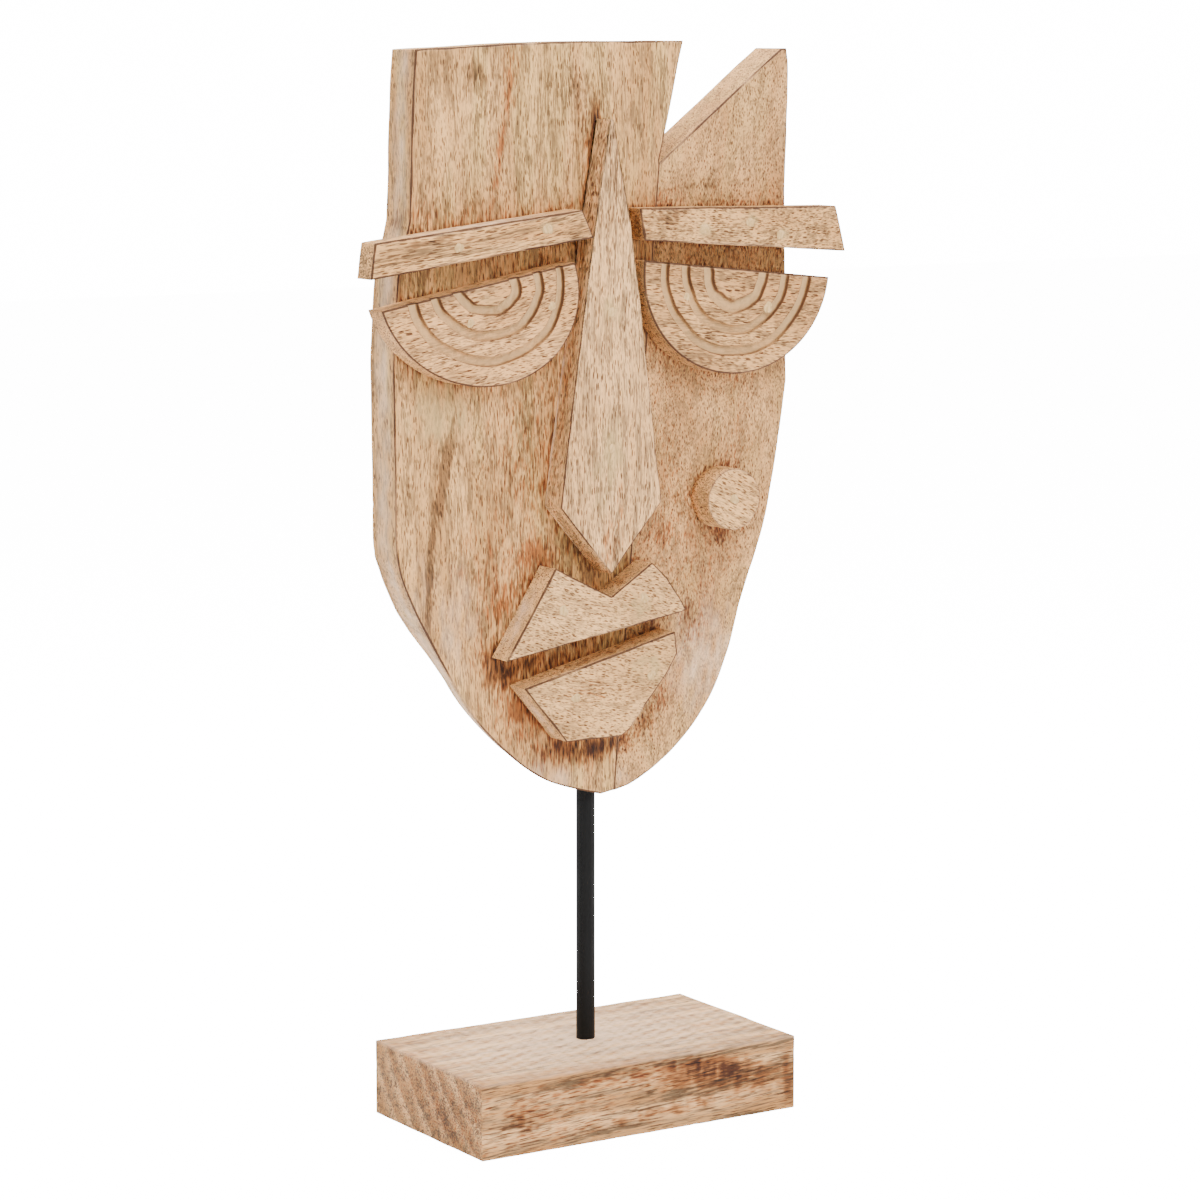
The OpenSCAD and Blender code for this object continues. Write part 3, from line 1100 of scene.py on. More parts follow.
@dataclass
class Plank(Piece):
    """Flat piece sawn to an outline, with eased arrises and a hand-worked front.

    Attributes:
        wood: Finish of the piece.
        corners: Bottom left, bottom right, top right and top left corner of its grid:
            share of the box across, share up, and a shift along the outline in mm.
        across: Grid points from left to right.
        up: Grid points from bottom to top.
        arris: Radius of the eased arrises.
        sway: How far the sawn outline wanders inwards.
        dish: How far the front wanders inwards.
        chatter: Depth of the saw's marks on the wall.
        worn: How far in from an arris its worn look and its line of painted shadow and dirt reach.
        wall_rings: Rings of points down the wall, closer together near its arrises.
        marks: Stains on the front and walls.
        seed: Chooses this piece's own wandering.
    """

    wood: Wood = Wood()
    corners: tuple[tuple[float, float, float], ...] = ()
    across: int = 60
    up: int = 60
    arris: float = 0.55 * MM
    sway: float = 0.25 * MM
    dish: float = 0.25 * MM
    chatter: float = 0.12 * MM
    worn: float = 0.9 * MM
    wall_rings: int = 8
    marks: tuple[Mark, ...] = ()
    seed: int = 1

    def planes(self) -> tuple[float, float]:
        """Depths of the front and of the back."""
        low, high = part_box(self.node)
        return low.y, high.y

    def place(self, flat: Array, depth: Array) -> Array:
        """Places for points of the outline's plane at a depth."""
        return facing_viewer(flat, depth)

    def outline(self) -> Outline:
        """Outline of the node, read on its back."""
        corners = flat_outline(self.node, self.planes()[1])
        return Outline(corners, ease=1.3 * self.arris)

    def loop(self) -> tuple[Array, Array, Array]:
        """Outline as a closed loop of points, with the shares along its sides.

        Returns:
            The points, then the shares along the bottom and top and along the two sides.
        """
        outline = self.outline()
        low, high = outline.corners.min(0), outline.corners.max(0)
        ends = np.array([outline.nearest(low + (high - low) * (x, z)) + shift * MM
                         for x, z, shift in self.corners])
        whole = outline.starts[-1]
        lengths = np.mod(np.roll(ends, -1) - ends, whole)
        across, up = crowd(self.across), crowd(self.up)
        along = np.concatenate([start + length * shares[:-1] for start, length, shares in zip(
            ends, lengths, (across, up, across, up))])
        return outline.at(along), across, up

    def arris_at(self, rim: Array) -> Array:
        """Radius of the arris along the rim: uneven, with a few knocks.

        Args:
            rim: Points along the outline (n, 2).

        Returns:
            One radius for each point.
        """
        places = facing_viewer(rim, np.zeros(len(rim)))
        uneven = 1 + 0.3 * ripple(places, 14 * MM, self.seed + 1)
        knocks = np.clip(ripple(places, 6 * MM, self.seed + 2) - 1.1, 0, 0.8)
        return self.arris * (uneven + 1.2 * knocks)

    def sway_at(self, rim: Array) -> Array:
        """How far the outline is sawn inside its line, along the rim."""
        places = facing_viewer(rim, np.zeros(len(rim)))
        return self.sway * wander(places, 30 * MM, self.seed + 3)

    def undercut_at(self, rim: Array) -> Array:
        """How far the back's outline lies inside the front's, along the rim."""
        return np.zeros(len(rim))

    def front_at(self, flat: Array) -> Array:
        """Depth of the front, which the hand-worked surface keeps just behind."""
        level = np.full(flat.shape[:-1], self.planes()[0])
        return level + self.dish * wander(self.place(flat, level), 45 * MM, self.seed)

    def extra_values(self, points: Array) -> dict[str, Array]:
        """More values for the finish, one for each point."""
        return {}

    def build(self) -> bpy.types.Object:
        """Makes the mesh: front, eased arris, wall, eased back arris and back.

        Returns:
            The finished mesh object.
        """
        rim, across, up = self.loop()
        rim = rim - mitres(rim) * self.sway_at(rim)[:, None]
        arris = self.arris_at(rim)
        inner = rim - mitres(rim) * arris[:, None]
        back_rim = rim - mitres(rim) * self.undercut_at(rim)[:, None]
        back_inner = back_rim - mitres(back_rim) * arris[:, None]
        return self.slab(four_sided(inner, across, up), rim,
                         four_sided(back_inner, across, up), back_rim, arris)

    def slab(self, front: Array, rim: Array, back: Array, back_rim: Array,
             arris: Array) -> bpy.types.Object:
        """Carries the arris and wall round the rim between a front and a back grid.

        Args:
            front: Grid of the front, inside its arris, (across, up, 2).
            rim: Outline of the front, one point for each border point of the grid.
            back: Grid of the back, inside its arris.
            back_rim: Outline of the back.
            arris: Radius of the arris at each point of the rim.

        Returns:
            The finished mesh object.
        """
        front_depth, back_y = self.front_at(front), self.planes()[1]
        start = border_of(front_depth)
        inner, back_inner = border_of(front), border_of(back)
        out, down = EASED_OUT[:, None, None], EASED_DOWN[:, None]
        eased = inner + (rim - inner) * out
        eased_depth = start + arris * down
        share = crowd(self.wall_rings + 2, 0.9)[1:-1, None]
        wall_depth = start + arris + (back_y - 2 * arris - start) * share
        wall = rim + (back_rim - rim) * share[..., None]
        chatter = self.chatter * ripple(self.place(wall, wall_depth), 9 * MM, self.seed + 4)
        wall = wall - mitres(rim) * (np.abs(chatter) * np.sin(np.pi * share))[..., None]
        turned = back_inner + (back_rim - back_inner) * out[::-1]
        turned_depth = back_y - arris * down[::-1]
        rings = self.place(np.concatenate([eased, wall, turned]),
                           np.concatenate([eased_depth, wall_depth, turned_depth]))
        gaps = [np.linalg.norm(front - front[side], axis=-1) for side in (
            np.s_[:1], np.s_[-1:], np.s_[:, :1], np.s_[:, -1:])]
        edge = fade(np.minimum.reduce(gaps), self.worn)
        into = np.abs(np.concatenate([eased_depth * 0 + start, wall_depth, turned_depth]) - start)
        ring_edge = fade(np.maximum(into - arris, 0), self.worn)
        surface = Surface()
        surface.add(self.place(front, front_depth), edge=edge)
        surface.add(rings, closed=True, edge=ring_edge)
        surface.add(self.place(back, np.full(back.shape[:2], back_y)), edge=0.0)
        points = surface.all_points()
        marked = stains(points, self.marks)
        for kind, amount in self.extra_values(points).items():
            marked[kind] = marked.get(kind, 0) + amount
        return surface.object(self.node, **marked)

    def make(self, groups: Groups) -> None:
        """Builds the piece and dresses it."""
        material = self.wood.material(f"wood_{self.node}", groups, self.middle())
        self.settle(self.build(), material)


class BoardSide(Enum):
    """Which of the two face boards a board is, with its node."""

    LEFT = "face_board_left"
    RIGHT = "face_board_right"


@dataclass
class FaceBoard(Plank):
    """One of the two boards of the face, glued edge to edge along the seam.

    Attributes:
        side: Which board it is.
        seam_arris: Radius of the arris along the seam.
        touch: Outline points nearer than this to the other board are on the seam.
        nook_shade: Painted shade, with some scorch, at the foot of the raised pieces.
        raised: Nodes that stand on the boards.
    """

    side: BoardSide = BoardSide.LEFT
    seam_arris: float = 0.22 * MM
    touch: float = 0.6 * MM
    nook_shade: float = 0.5
    raised: tuple[str, ...] = ("nose", "left_brow", "right_brow", "left_eye", "right_eye",
                               "cheek_disc", "upper_lip", "lower_lip")

    def on_seam(self, rim: Array) -> Array:
        """1 where the rim lies on the seam, else 0."""
        other = BoardSide.RIGHT if self.side is BoardSide.LEFT else BoardSide.LEFT
        loop = flat_outline(other.value, self.planes()[1])
        return (gap_to(facing_viewer(rim, rim[:, 0] * 0), loop) < self.touch).astype(float)

    def arris_at(self, rim: Array) -> Array:
        """Radius of the arris, which is smaller along the seam."""
        seam = self.on_seam(rim)
        return super().arris_at(rim) * (1 - seam) + self.seam_arris * seam

    def sway_at(self, rim: Array) -> Array:
        """Sawn outline, with the seam planed straight."""
        return super().sway_at(rim) * (1 - self.on_seam(rim))

    def undercut_at(self, rim: Array) -> Array:
        """The back of the left board is sawn further in along the lower jaw.

        Args:
            rim: Points along the outline (n, 2).

        Returns:
            One distance for each point.
        """
        if self.side is BoardSide.RIGHT:
            return np.zeros(len(rim))
        low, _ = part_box(self.node)
        heights = np.array(JAW_HEIGHTS, float) * MM + low.z
        depths = np.array(JAW_CUTS, float) * MM
        outer = rim[:, 0] < 0
        return np.where(outer, np.interp(rim[:, 1], heights, depths), 0.0)

    def extra_values(self, points: Array) -> dict[str, Array]:
        """Painted shade, with some scorch, from how close each point of the front is to the foot of
        a raised piece.

        Args:
            points: Places (n, 3).

        Returns:
            Scorch and rust for each point, here carrying the painted shade.
        """
        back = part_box("nose")[1].y
        front = points[:, 1] < back + 1 * MM
        loops = [flat_outline(name, back) for name in self.raised]
        near = np.full(len(points), 1.0)
        near[front] = np.minimum.reduce([gap_to(points[front], loop) for loop in loops])
        patchy = (0.6 + 0.4 * ripple(points, 30 * MM, self.seed + 8)).clip(0.15, 1)
        # Painted shade: the board darkens where it meets the raised pieces, with some scorch, put
        # into the scorch and rust values.
        return {"scorch": self.nook_shade * (patchy * fade(near, 2.5 * MM) + fade(near, 0.7 * MM)),
                "rust": self.nook_shade * patchy * fade(near, 9 * MM)}


@dataclass
class Nose(Plank):
    """Long kite that is thinner towards its upper end."""

    def front_at(self, flat: Array) -> Array:
        """Depth of the front: level up to the nostrils, then sloping back to the top.

        Args:
            flat: Points of the front in its plane (..., 2).

        Returns:
            One depth for each point.
        """
        places, _ = node_mesh(self.node)
        top = places[:, 2].max()
        nostril = places[places[:, 0].argmin(), 2]
        thin = places[places[:, 2] > top - 0.1 * MM, 1].min()
        slope = np.interp(flat[..., 1], [nostril, top], [0.0, thin - self.planes()[0]])
        return super().front_at(flat) + slope


@dataclass
class Eye(Plank):
    """Half oval hung from a straight lid, with three carved rings that follow its rim.

    Attributes:
        pitch: Distance between rings, along the lid and down, in millimetres.
        shift: How far the rings stand to the right of the rim's middle, in millimetres.
        groove: Width of a ring.
        deep: Depth of a ring.
        slope: Width of the slope at each side of a ring.
    """

    pitch: tuple[float, float] = (13.5, 13.0)
    shift: float = 4.0
    groove: float = 5 * MM
    deep: float = 2.5 * MM
    slope: float = 0.6 * MM

    def shape(self) -> tuple[Array, Array, float, float, float]:
        """Middle of the lid, direction along it, half width, drop and skew.

        Returns:
            The five of them, in that order.
        """
        outline = self.outline()
        first, last = outline.corners[outline.sharp]
        left, right = (first, last) if first[0] < last[0] else (last, first)
        along = (right - left) / np.linalg.norm(right - left)
        middle = (left + right) / 2
        hung = (outline.corners - middle) @ np.array([[along[0], -along[1]],
                                                      [along[1], along[0]]])
        lowest = hung[hung[:, 1].argmin()]
        return middle, along, np.linalg.norm(right - left) / 2, -lowest[1], lowest[0]

    def rings(self, across: Array, ring: Array) -> Array:
        """Points of the half oval about the middle of its lid.

        Across is the angle from the lid's left end, through the lowest point, to its
        right end. Ring is 0 on the rim, 1, 2 and 3 along the carved rings and 4 at the
        middle. Each ring is a half oval a pitch inside the one before.

        Args:
            across: Angles.
            ring: Ring numbers, of the same shape.

        Returns:
            Points (..., 2).
        """
        _, _, half, drop, skew = self.shape()
        steps = [0, 1, RINGS, RINGS + 1]
        wide, tall = (np.interp(ring, steps, [size, size - pitch * MM, size - RINGS * pitch * MM, 0])
                      for size, pitch in ((half, self.pitch[0]), (drop, self.pitch[1])))
        aside = np.interp(ring, steps, [0, 1, 1, 1]) * self.shift * MM
        lean = (skew - aside) * np.interp(ring, steps, [1, 1, 1, 0])
        return np.stack([aside - wide * np.cos(across) + lean * np.sin(across),
                         -tall * np.sin(across)], axis=-1)

    def groove_at(self, across: Array, ring: Array) -> tuple[Array, Array]:
        """Share of the ring's depth, and closeness to a ring's edge, at each point.

        Args:
            across: Angles.
            ring: Ring numbers, of the same shape.

        Returns:
            The two values for each point.
        """
        pitch = (self.pitch[0] * np.cos(across) ** 2 + self.pitch[1] * np.sin(across) ** 2) * MM
        nearest = np.clip(np.round(ring), 1, RINGS)
        wobble = (0.35 * MM * np.sin(7 * across + 2 * nearest + self.seed)
                  + 0.12 * MM * np.sin(15 * across + 5 * nearest))
        off = np.abs((ring - nearest) * pitch + wobble)
        wall = np.clip((off - self.groove / 2 + 0.4 * MM) / self.slope, 0, 1)
        edge = fade(np.abs(off - self.groove / 2), self.slope)
        return 1 - wall * wall * (3 - 2 * wall), edge

    def build(self) -> bpy.types.Object:
        """Makes the mesh on a grid of angles and rings, finer at the groove walls.

        Returns:
            The finished mesh object.
        """
        middle, along, half, drop, _ = self.shape()
        across = np.linspace(0, np.pi, self.across)[:, None]
        fine = np.linspace(0, RINGS + 1, 900)
        nearest = np.clip(np.round(fine), 1, RINGS)
        off = np.abs(fine - nearest) * self.pitch[1] * MM - self.groove / 2
        weight = 1 + 7 * np.exp(-(off / self.slope) ** 2) + 3 * np.exp(-fine * 8)
        travelled = np.cumsum(weight)
        travelled = (travelled - travelled[0]) / (travelled[-1] - travelled[0])
        ring = np.interp(np.linspace(0, 1, self.up), travelled, fine)[None]
        full = self.rings(*np.broadcast_arrays(across, ring))
        self.carved, self.groove_edge = self.groove_at(*np.broadcast_arrays(across, ring))
        arris = self.arris
        inner = full * [1 - arris / half, 1 - 2 * arris / drop] - [0, arris]
        turn = np.array([along, [-along[1], along[0]]])
        full, inner = full @ turn + middle, inner @ turn + middle
        rim = border_of(full)
        return self.slab(inner, rim, inner, rim, np.full(len(rim), arris))

    def front_at(self, flat: Array) -> Array:
        """Depth of the front with its rings cut in."""
        rough = 1 + 0.12 * ripple(facing_viewer(flat, flat[..., 0] * 0), 5 * MM, self.seed + 6)
        return super().front_at(flat) + self.deep * self.carved * rough

    def extra_values(self, points: Array) -> dict[str, Array]:
        """Where the rings and their edges are, the edges taking a line of painted shade; the front's
        grid comes first.

        Args:
            points: Places (n, 3).

        Returns:
            The two values for each point.
        """
        floor, line = np.zeros(len(points)), np.zeros(len(points))
        floor[:self.carved.size] = self.carved.ravel()
        line[:self.carved.size] = self.groove_edge.ravel()
        return {"floor": floor, "line": line}


def turned_grid(radius: Array, depth: Array, steps: int) -> tuple[Array, Array]:
    """A profile carried round an axis.

    Args:
        radius: Radius of each point of the profile.
        depth: Distance of each point along the axis.
        steps: Points round the axis.

    Returns:
        Plane points (profile, steps, 2) about the axis, and depths (profile, steps).
    """
    angle = np.linspace(0, 2 * np.pi, steps, endpoint=False)
    circle = np.stack([np.cos(angle), np.sin(angle)], axis=-1)
    return radius[:, None, None] * circle, np.repeat(depth[:, None], steps, axis=1)


@dataclass
class CheekDisc(Plank):
    """Short round peg set on the right cheek.

    Attributes:
        steps: Points round the peg.
        foot: Painted shade, with some scorch, at its foot on the board.
    """

    steps: int = 180
    foot: float = 0.55

    def build(self) -> bpy.types.Object:
        """Makes the mesh: a profile from the front's middle, over the rim, to the back.

        Returns:
            The finished mesh object.
        """
        low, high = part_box(self.node)
        size, depth = (high.x - low.x) / 2, high.y - low.y
        inward = np.linspace(0, 1, 26) ** 0.7 * (size - self.arris)
        wall = np.linspace(self.arris, depth, 16)[1:]
        radius = np.concatenate([inward, size - self.arris + self.arris * EASED_OUT[1:],
                                 np.full(len(wall), size), [0.6 * size, 0.0]])
        down = np.concatenate([inward * 0, self.arris * EASED_DOWN[1:], wall, [depth, depth]])
        flat, level = turned_grid(radius, low.y + down, self.steps)
        middle = self.middle()
        flat = flat + [middle.x, middle.z]
        places = facing_viewer(flat, level)
        worn = wander(places, 12 * MM, self.seed)
        pulled = 1 - 0.5 * MM * worn / size * (radius > 0.9 * size)[:, None]
        flat = (flat - [middle.x, middle.z]) * pulled[..., None] + [middle.x, middle.z]
        level = level + self.dish * worn * (down <= self.arris)[:, None]
        edge = np.exp(-np.abs(radius - size) / (1.1 * MM) - down / (1.1 * MM))[:, None]
        surface = Surface()
        surface.add(facing_viewer(flat, level), closed=True, edge=edge)
        points = surface.all_points()
        marked = stains(points, self.marks)
        # Painted shade, with some scorch: the wall darkens towards its foot on the board.
        marked["scorch"] = marked["scorch"] + self.foot * fade(high.y - points[:, 1], 3 * MM)
        return surface.object(self.node, **marked)


@dataclass
class BaseBlock(Plank):
    """Block that the rod stands in: a plain cuboid, rubbed along its edges.

    Attributes:
        fibre_rim: Width of the ring of lifted fibres round the rod's hole.
        fibre_lift: Height of the lifted fibres.
    """

    fibre_rim: float = 1.6 * MM
    fibre_lift: float = 0.5 * MM

    def planes(self) -> tuple[float, float]:
        """Depths of the top and of the underside."""
        low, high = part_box(self.node)
        return -high.z, -low.z

    def place(self, flat: Array, depth: Array) -> Array:
        """Places for points in plan at a depth below z = 0."""
        return facing_up(flat, depth)

    def outline(self) -> Outline:
        """The four corners in plan."""
        low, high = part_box(self.node)
        corners = np.array([[low.x, low.y], [high.x, low.y], [high.x, high.y], [low.x, high.y]])
        return Outline(corners, ease=1.5 * self.arris)

    def front_at(self, flat: Array) -> Array:
        """Depth of the top, with fibres lifted round the rod.

        Args:
            flat: Points of the top in plan (..., 2).

        Returns:
            One depth for each point.
        """
        low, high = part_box("stand_rod")
        ragged = wander(self.place(flat, flat[..., 0] * 0), 2.5 * MM, self.seed + 7)
        off = np.linalg.norm(flat, axis=-1) - (high.x - low.x) / 2
        lifted = np.exp(-(off / self.fibre_rim) ** 2) * ragged
        return super().front_at(flat) - self.fibre_lift * lifted


@dataclass
class Rod(Piece):
    """Round steel rod, painted matt black, with broken corners at its ends.

    Attributes:
        finish: Paint on the rod.
        chamfer: Size of the broken corners.
        steps: Points round the rod.
    """

    finish: Metal = Metal((0.0015, 0.0015, 0.0015), 0.0, 0.6, 0.25 * MM)
    chamfer: float = 0.5 * MM
    steps: int = 96

    def make(self) -> None:
        """Builds the rod as a profile carried round the Z axis, and dresses it."""
        low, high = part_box(self.node)
        size = (high.x - low.x) / 2
        length = np.linspace(low.z + self.chamfer, high.z - self.chamfer, 60)
        radius = np.concatenate([[0, size - self.chamfer], np.full(60, size),
                                 [size - self.chamfer, 0]])
        height = np.concatenate([[low.z, low.z], length, [high.z, high.z]])
        flat, level = turned_grid(radius, -height, self.steps)
        surface = Surface()
        surface.add(facing_up(flat, level), closed=True)
        self.settle(surface.object(self.node), self.finish.material("matt_black_paint"))


@dataclass
class Fillers(Piece):
    """Smears of filler over the sunk nail heads, one uneven lens for each.

    Attributes:
        finish: The filler.
        proud: How far a smear stands above the wood.
        spread: Half width of a smear for the hole's radius.
        steps: Points round a smear.
    """

    finish: Putty = Putty()
    proud: float = 0.07 * MM
    spread: float = 1.05
    steps: int = 40

    def holes(self) -> tuple[Array, float, float]:
        """Middle of each hole at its mouth, the hole's radius and its depth.

        Corners of one filler are those that lie within a filler's width of each other,
        so each corner takes the mean of all the corners that near to it.

        Returns:
            Mouths (n, 3), radius and depth.
        """
        places, _ = node_mesh(self.node)
        near = np.linalg.norm(places[:, None, [0, 2]] - places[None, :, [0, 2]], axis=-1) < 8 * MM
        middles = (near @ places) / near.sum(1)[:, None]
        _, first = np.unique(np.round(middles / (0.5 * MM)), axis=0, return_index=True)
        reach = np.where(near[first], places[None, :, 1], np.inf).min(1)
        mouths = np.stack([middles[first, 0], reach, middles[first, 2]], axis=-1)
        radius = np.linalg.norm(places[:, None] - middles[first][None], axis=-1).min(1).max()
        deep = 2 * (middles[first[0], 1] - reach[0])
        return mouths, float(radius), float(deep)

    def make(self) -> None:
        """Builds every smear as one grid of lenses and dresses them."""
        mouths, radius, deep = self.holes()
        draw = np.random.default_rng(31)
        profile = np.array([0.0, 0.35, 0.7, 1.0, 0.9, 0.5, 0.0])
        depth = np.array([-self.proud, -self.proud, -0.6 * self.proud, 0.0, 0.3 * deep,
                          0.5 * deep, 0.5 * deep])
        angle = np.linspace(0, 2 * np.pi, self.steps, endpoint=False)
        surface = Surface()
        for mouth in mouths:
            lobes = draw.uniform(0, 2 * np.pi, 3)
            waves = SMEAR_HEIGHTS * np.cos(np.outer(angle, SMEAR_TURNS) + lobes)
            uneven = 1 + waves[:, 0] + waves[:, 1] + waves[:, 2]
            wide = radius * self.spread * draw.uniform(0.75, 1.1) * uneven
            flat, level = turned_grid(profile, depth, self.steps)
            flat = flat * wide[None, :, None] + mouth[[0, 2]]
            surface.add(facing_viewer(flat, level + mouth[1]), closed=True)
        self.settle(surface.object(self.node), self.finish.material())


# ---------------------------------------------------------------- sub-assemblies


@dataclass
class Stand:
    """The base block and the rod."""

    block: BaseBlock = field(default_factory=lambda: BaseBlock(
        "base_block", "stand", "base_wood", across=150, up=90, arris=0.6 * MM, seed=11,
        wall_rings=36,
        corners=((0, 0, 0), (1, 0, 0), (1, 1, 0), (0, 1, 0)),
        wood=Wood(pale=(0.70, 0.410, 0.185), warm=(0.32, 0.150, 0.050), grain=(1.0, 0.05, 0.04),
                  pith=(130, 150), ring=14 * MM, bands=0.65, clouds=0.45, spacing=1.3 * MM,
                  stretch=9, width=0.2, share=0.6, fibres=1.0, reach=40 * MM, waver=0.4,
                  arris_shadow_and_dirt=0.15),
        marks=patches(
            # The first bleach mark is painted light: it brightens the whole top, as if lit from
            # above.
            bleach=((0, 41, 130, 2.5, 0, 1.0, 0, 80), (0, 41, 8, 3, 0, 1.5, 0, 8)),
            scorch=((52, 29, 26, 5, -10, 1.3, -58, 12), (34, 26, 44, 8, -10, 0.9, -58, 12),
                    (10, 10, 50, 4, 3, 0.6, -58, 12), (-72, 18, 13, 9, 10, 0.75, -58, 12),
                    (94, 18, 7, 16, 0, 0.6, -58, 14)),
            rust=((-55, 16, 32, 13, 4, 0.35, -58, 12), (-20, 32, 50, 4, 2, 0.6, -58, 12),
                  (-98, 20, 6, 30, 0, 0.5, -20, 60)),
            weather=((-40, 41, 30, 2, 0, 0.3, 20, 5),),
        )))
    rod: Rod = field(default_factory=lambda: Rod("stand_rod", "stand", "rod_black"))

    def make(self, groups: Groups) -> None:
        """Builds the block and the rod."""
        self.block.make(groups)
        self.rod.make()


@dataclass
class Boards:
    """The two boards of the face."""

    left: FaceBoard = field(default_factory=lambda: FaceBoard(
        "face_board_left", "mask", "face_wood", across=130, up=260, seed=21,
        corners=((0.0, 0.34, 0), (0.754, 0, 0), (1, 1, 0), (0.08, 0.99, 0)),
        wood=Wood(pale=(0.66, 0.355, 0.132), warm=(0.40, 0.195, 0.064), tint=0.6,
                  grain=(-0.02, 0.05, 1.0), pith=(30, 70), bands=0.3, clouds=0.6,
                  stretch=3.8, width=0.22, share=0.95, fibres=0.75, depth=0.95,
                  reach=11 * MM),
        marks=patches(
            # The first two bleach marks are painted light: they brighten the board's left side
            # faces, as if lit from the left.
            bleach=((-120, 420, 60, 250, 0, 0.7, 0, 9), (-70, 232, 50, 60, 0, 0.6, 0, 9),
                    (-86, 275, 13, 30, 0, 0.4), (-108, 290, 6, 26, 0, 0.3),
                    (-30, 188, 20, 8, -12, 0.6)),
            weather=((-113, 479, 9, 5, 0, 0.8, 0, 9), (-72, 553, 7, 8, 0, 1.0),
                     (-18, 549, 16, 10, 0, 0.5), (-10, 537, 6, 14, 0, 0.5),
                     (-93, 350, 3.5, 28, -12, 1.6), (-102, 295, 2.2, 28, -4, 1.2)),
            rust=((-52, 555, 4, 22, -6, 0.65), (-59, 515, 1.5, 34, -10, 1.5),
                  (-106, 483, 10, 5, 0, 0.4), (-48, 360, 19, 32, -8, 0.45),
                  (-66, 300, 24, 24, 0, 0.4), (-45, 215, 24, 12, -30, 0.5),
                  (-38, 306, 9, 8, 0, 1.2), (-61, 281, 7, 10, -20, 0.7), (-49, 226, 8, 7, 0, 0.8)),
            scorch=((-1, 531, 2.4, 15, 0, 1.3), (-6, 501, 2.2, 22, -6, 0.6),
                    (-63, 248, 10, 12, 15, 1.1), (-55, 245, 5, 6, 0, 0.6),
                    (-40, 249, 17, 6, 0, 0.9), (-14, 256, 14, 5, 12, 0.5),
                    (14, 263, 18, 5, 10, 0.35), (-8, 202, 28, 7, 4, 1.2), (1, 200, 14, 4, 4, 0.5),
                    (0, 192, 22, 7, 0, 0.3)),
            resin=((-94, 381, 22, 14, 0, 0.9),),
        )))
    right: FaceBoard = field(default_factory=lambda: FaceBoard(
        "face_board_right", "mask", "face_wood", across=110, up=290, seed=22,
        side=BoardSide.RIGHT,
        corners=((0, 0, 0), (0.74, 0.25, 0), (0.99, 1, 0), (0.255, 0.85, 0)),
        wood=Wood(pale=(0.63, 0.335, 0.128), warm=(0.37, 0.174, 0.059), tint=0.3,
                  grain=(0.05, 0.3, 1.0), pith=(-20, 80), bands=0.15, clouds=0.6,
                  spacing=1.1 * MM, width=0.26, fibres=0.6, reach=8 * MM),
        marks=patches(
            bleach=((66, 243, 26, 34, 0, 0.7), (12, 182, 16, 8, 0, 0.4)),
            scorch=((57, 265, 4, 12, -10, 0.7), (75, 308, 9, 4, 0, 0.7), (31, 212, 6, 9, -25, 0.8),
                    (26, 263, 14, 5, 6, 0.4), (10, 202, 14, 6, 4, 1.1)),
            rust=((62, 262, 7, 16, -10, 0.4), (36, 311, 12, 8, 0, 0.6), (44, 350, 7, 42, 3, 0.25),
                  (62, 292, 20, 30, 0, 0.25), (88, 350, 12, 40, 0, 0.15), (28, 490, 11, 5, 0, 0.9),
                  (41, 224, 6, 7, 0, 0.6)),
            weather=((62, 495, 16, 3, 6, 0.5),),
        )))

    def make(self, groups: Groups) -> None:
        """Builds both boards."""
        self.left.make(groups)
        self.right.make(groups)


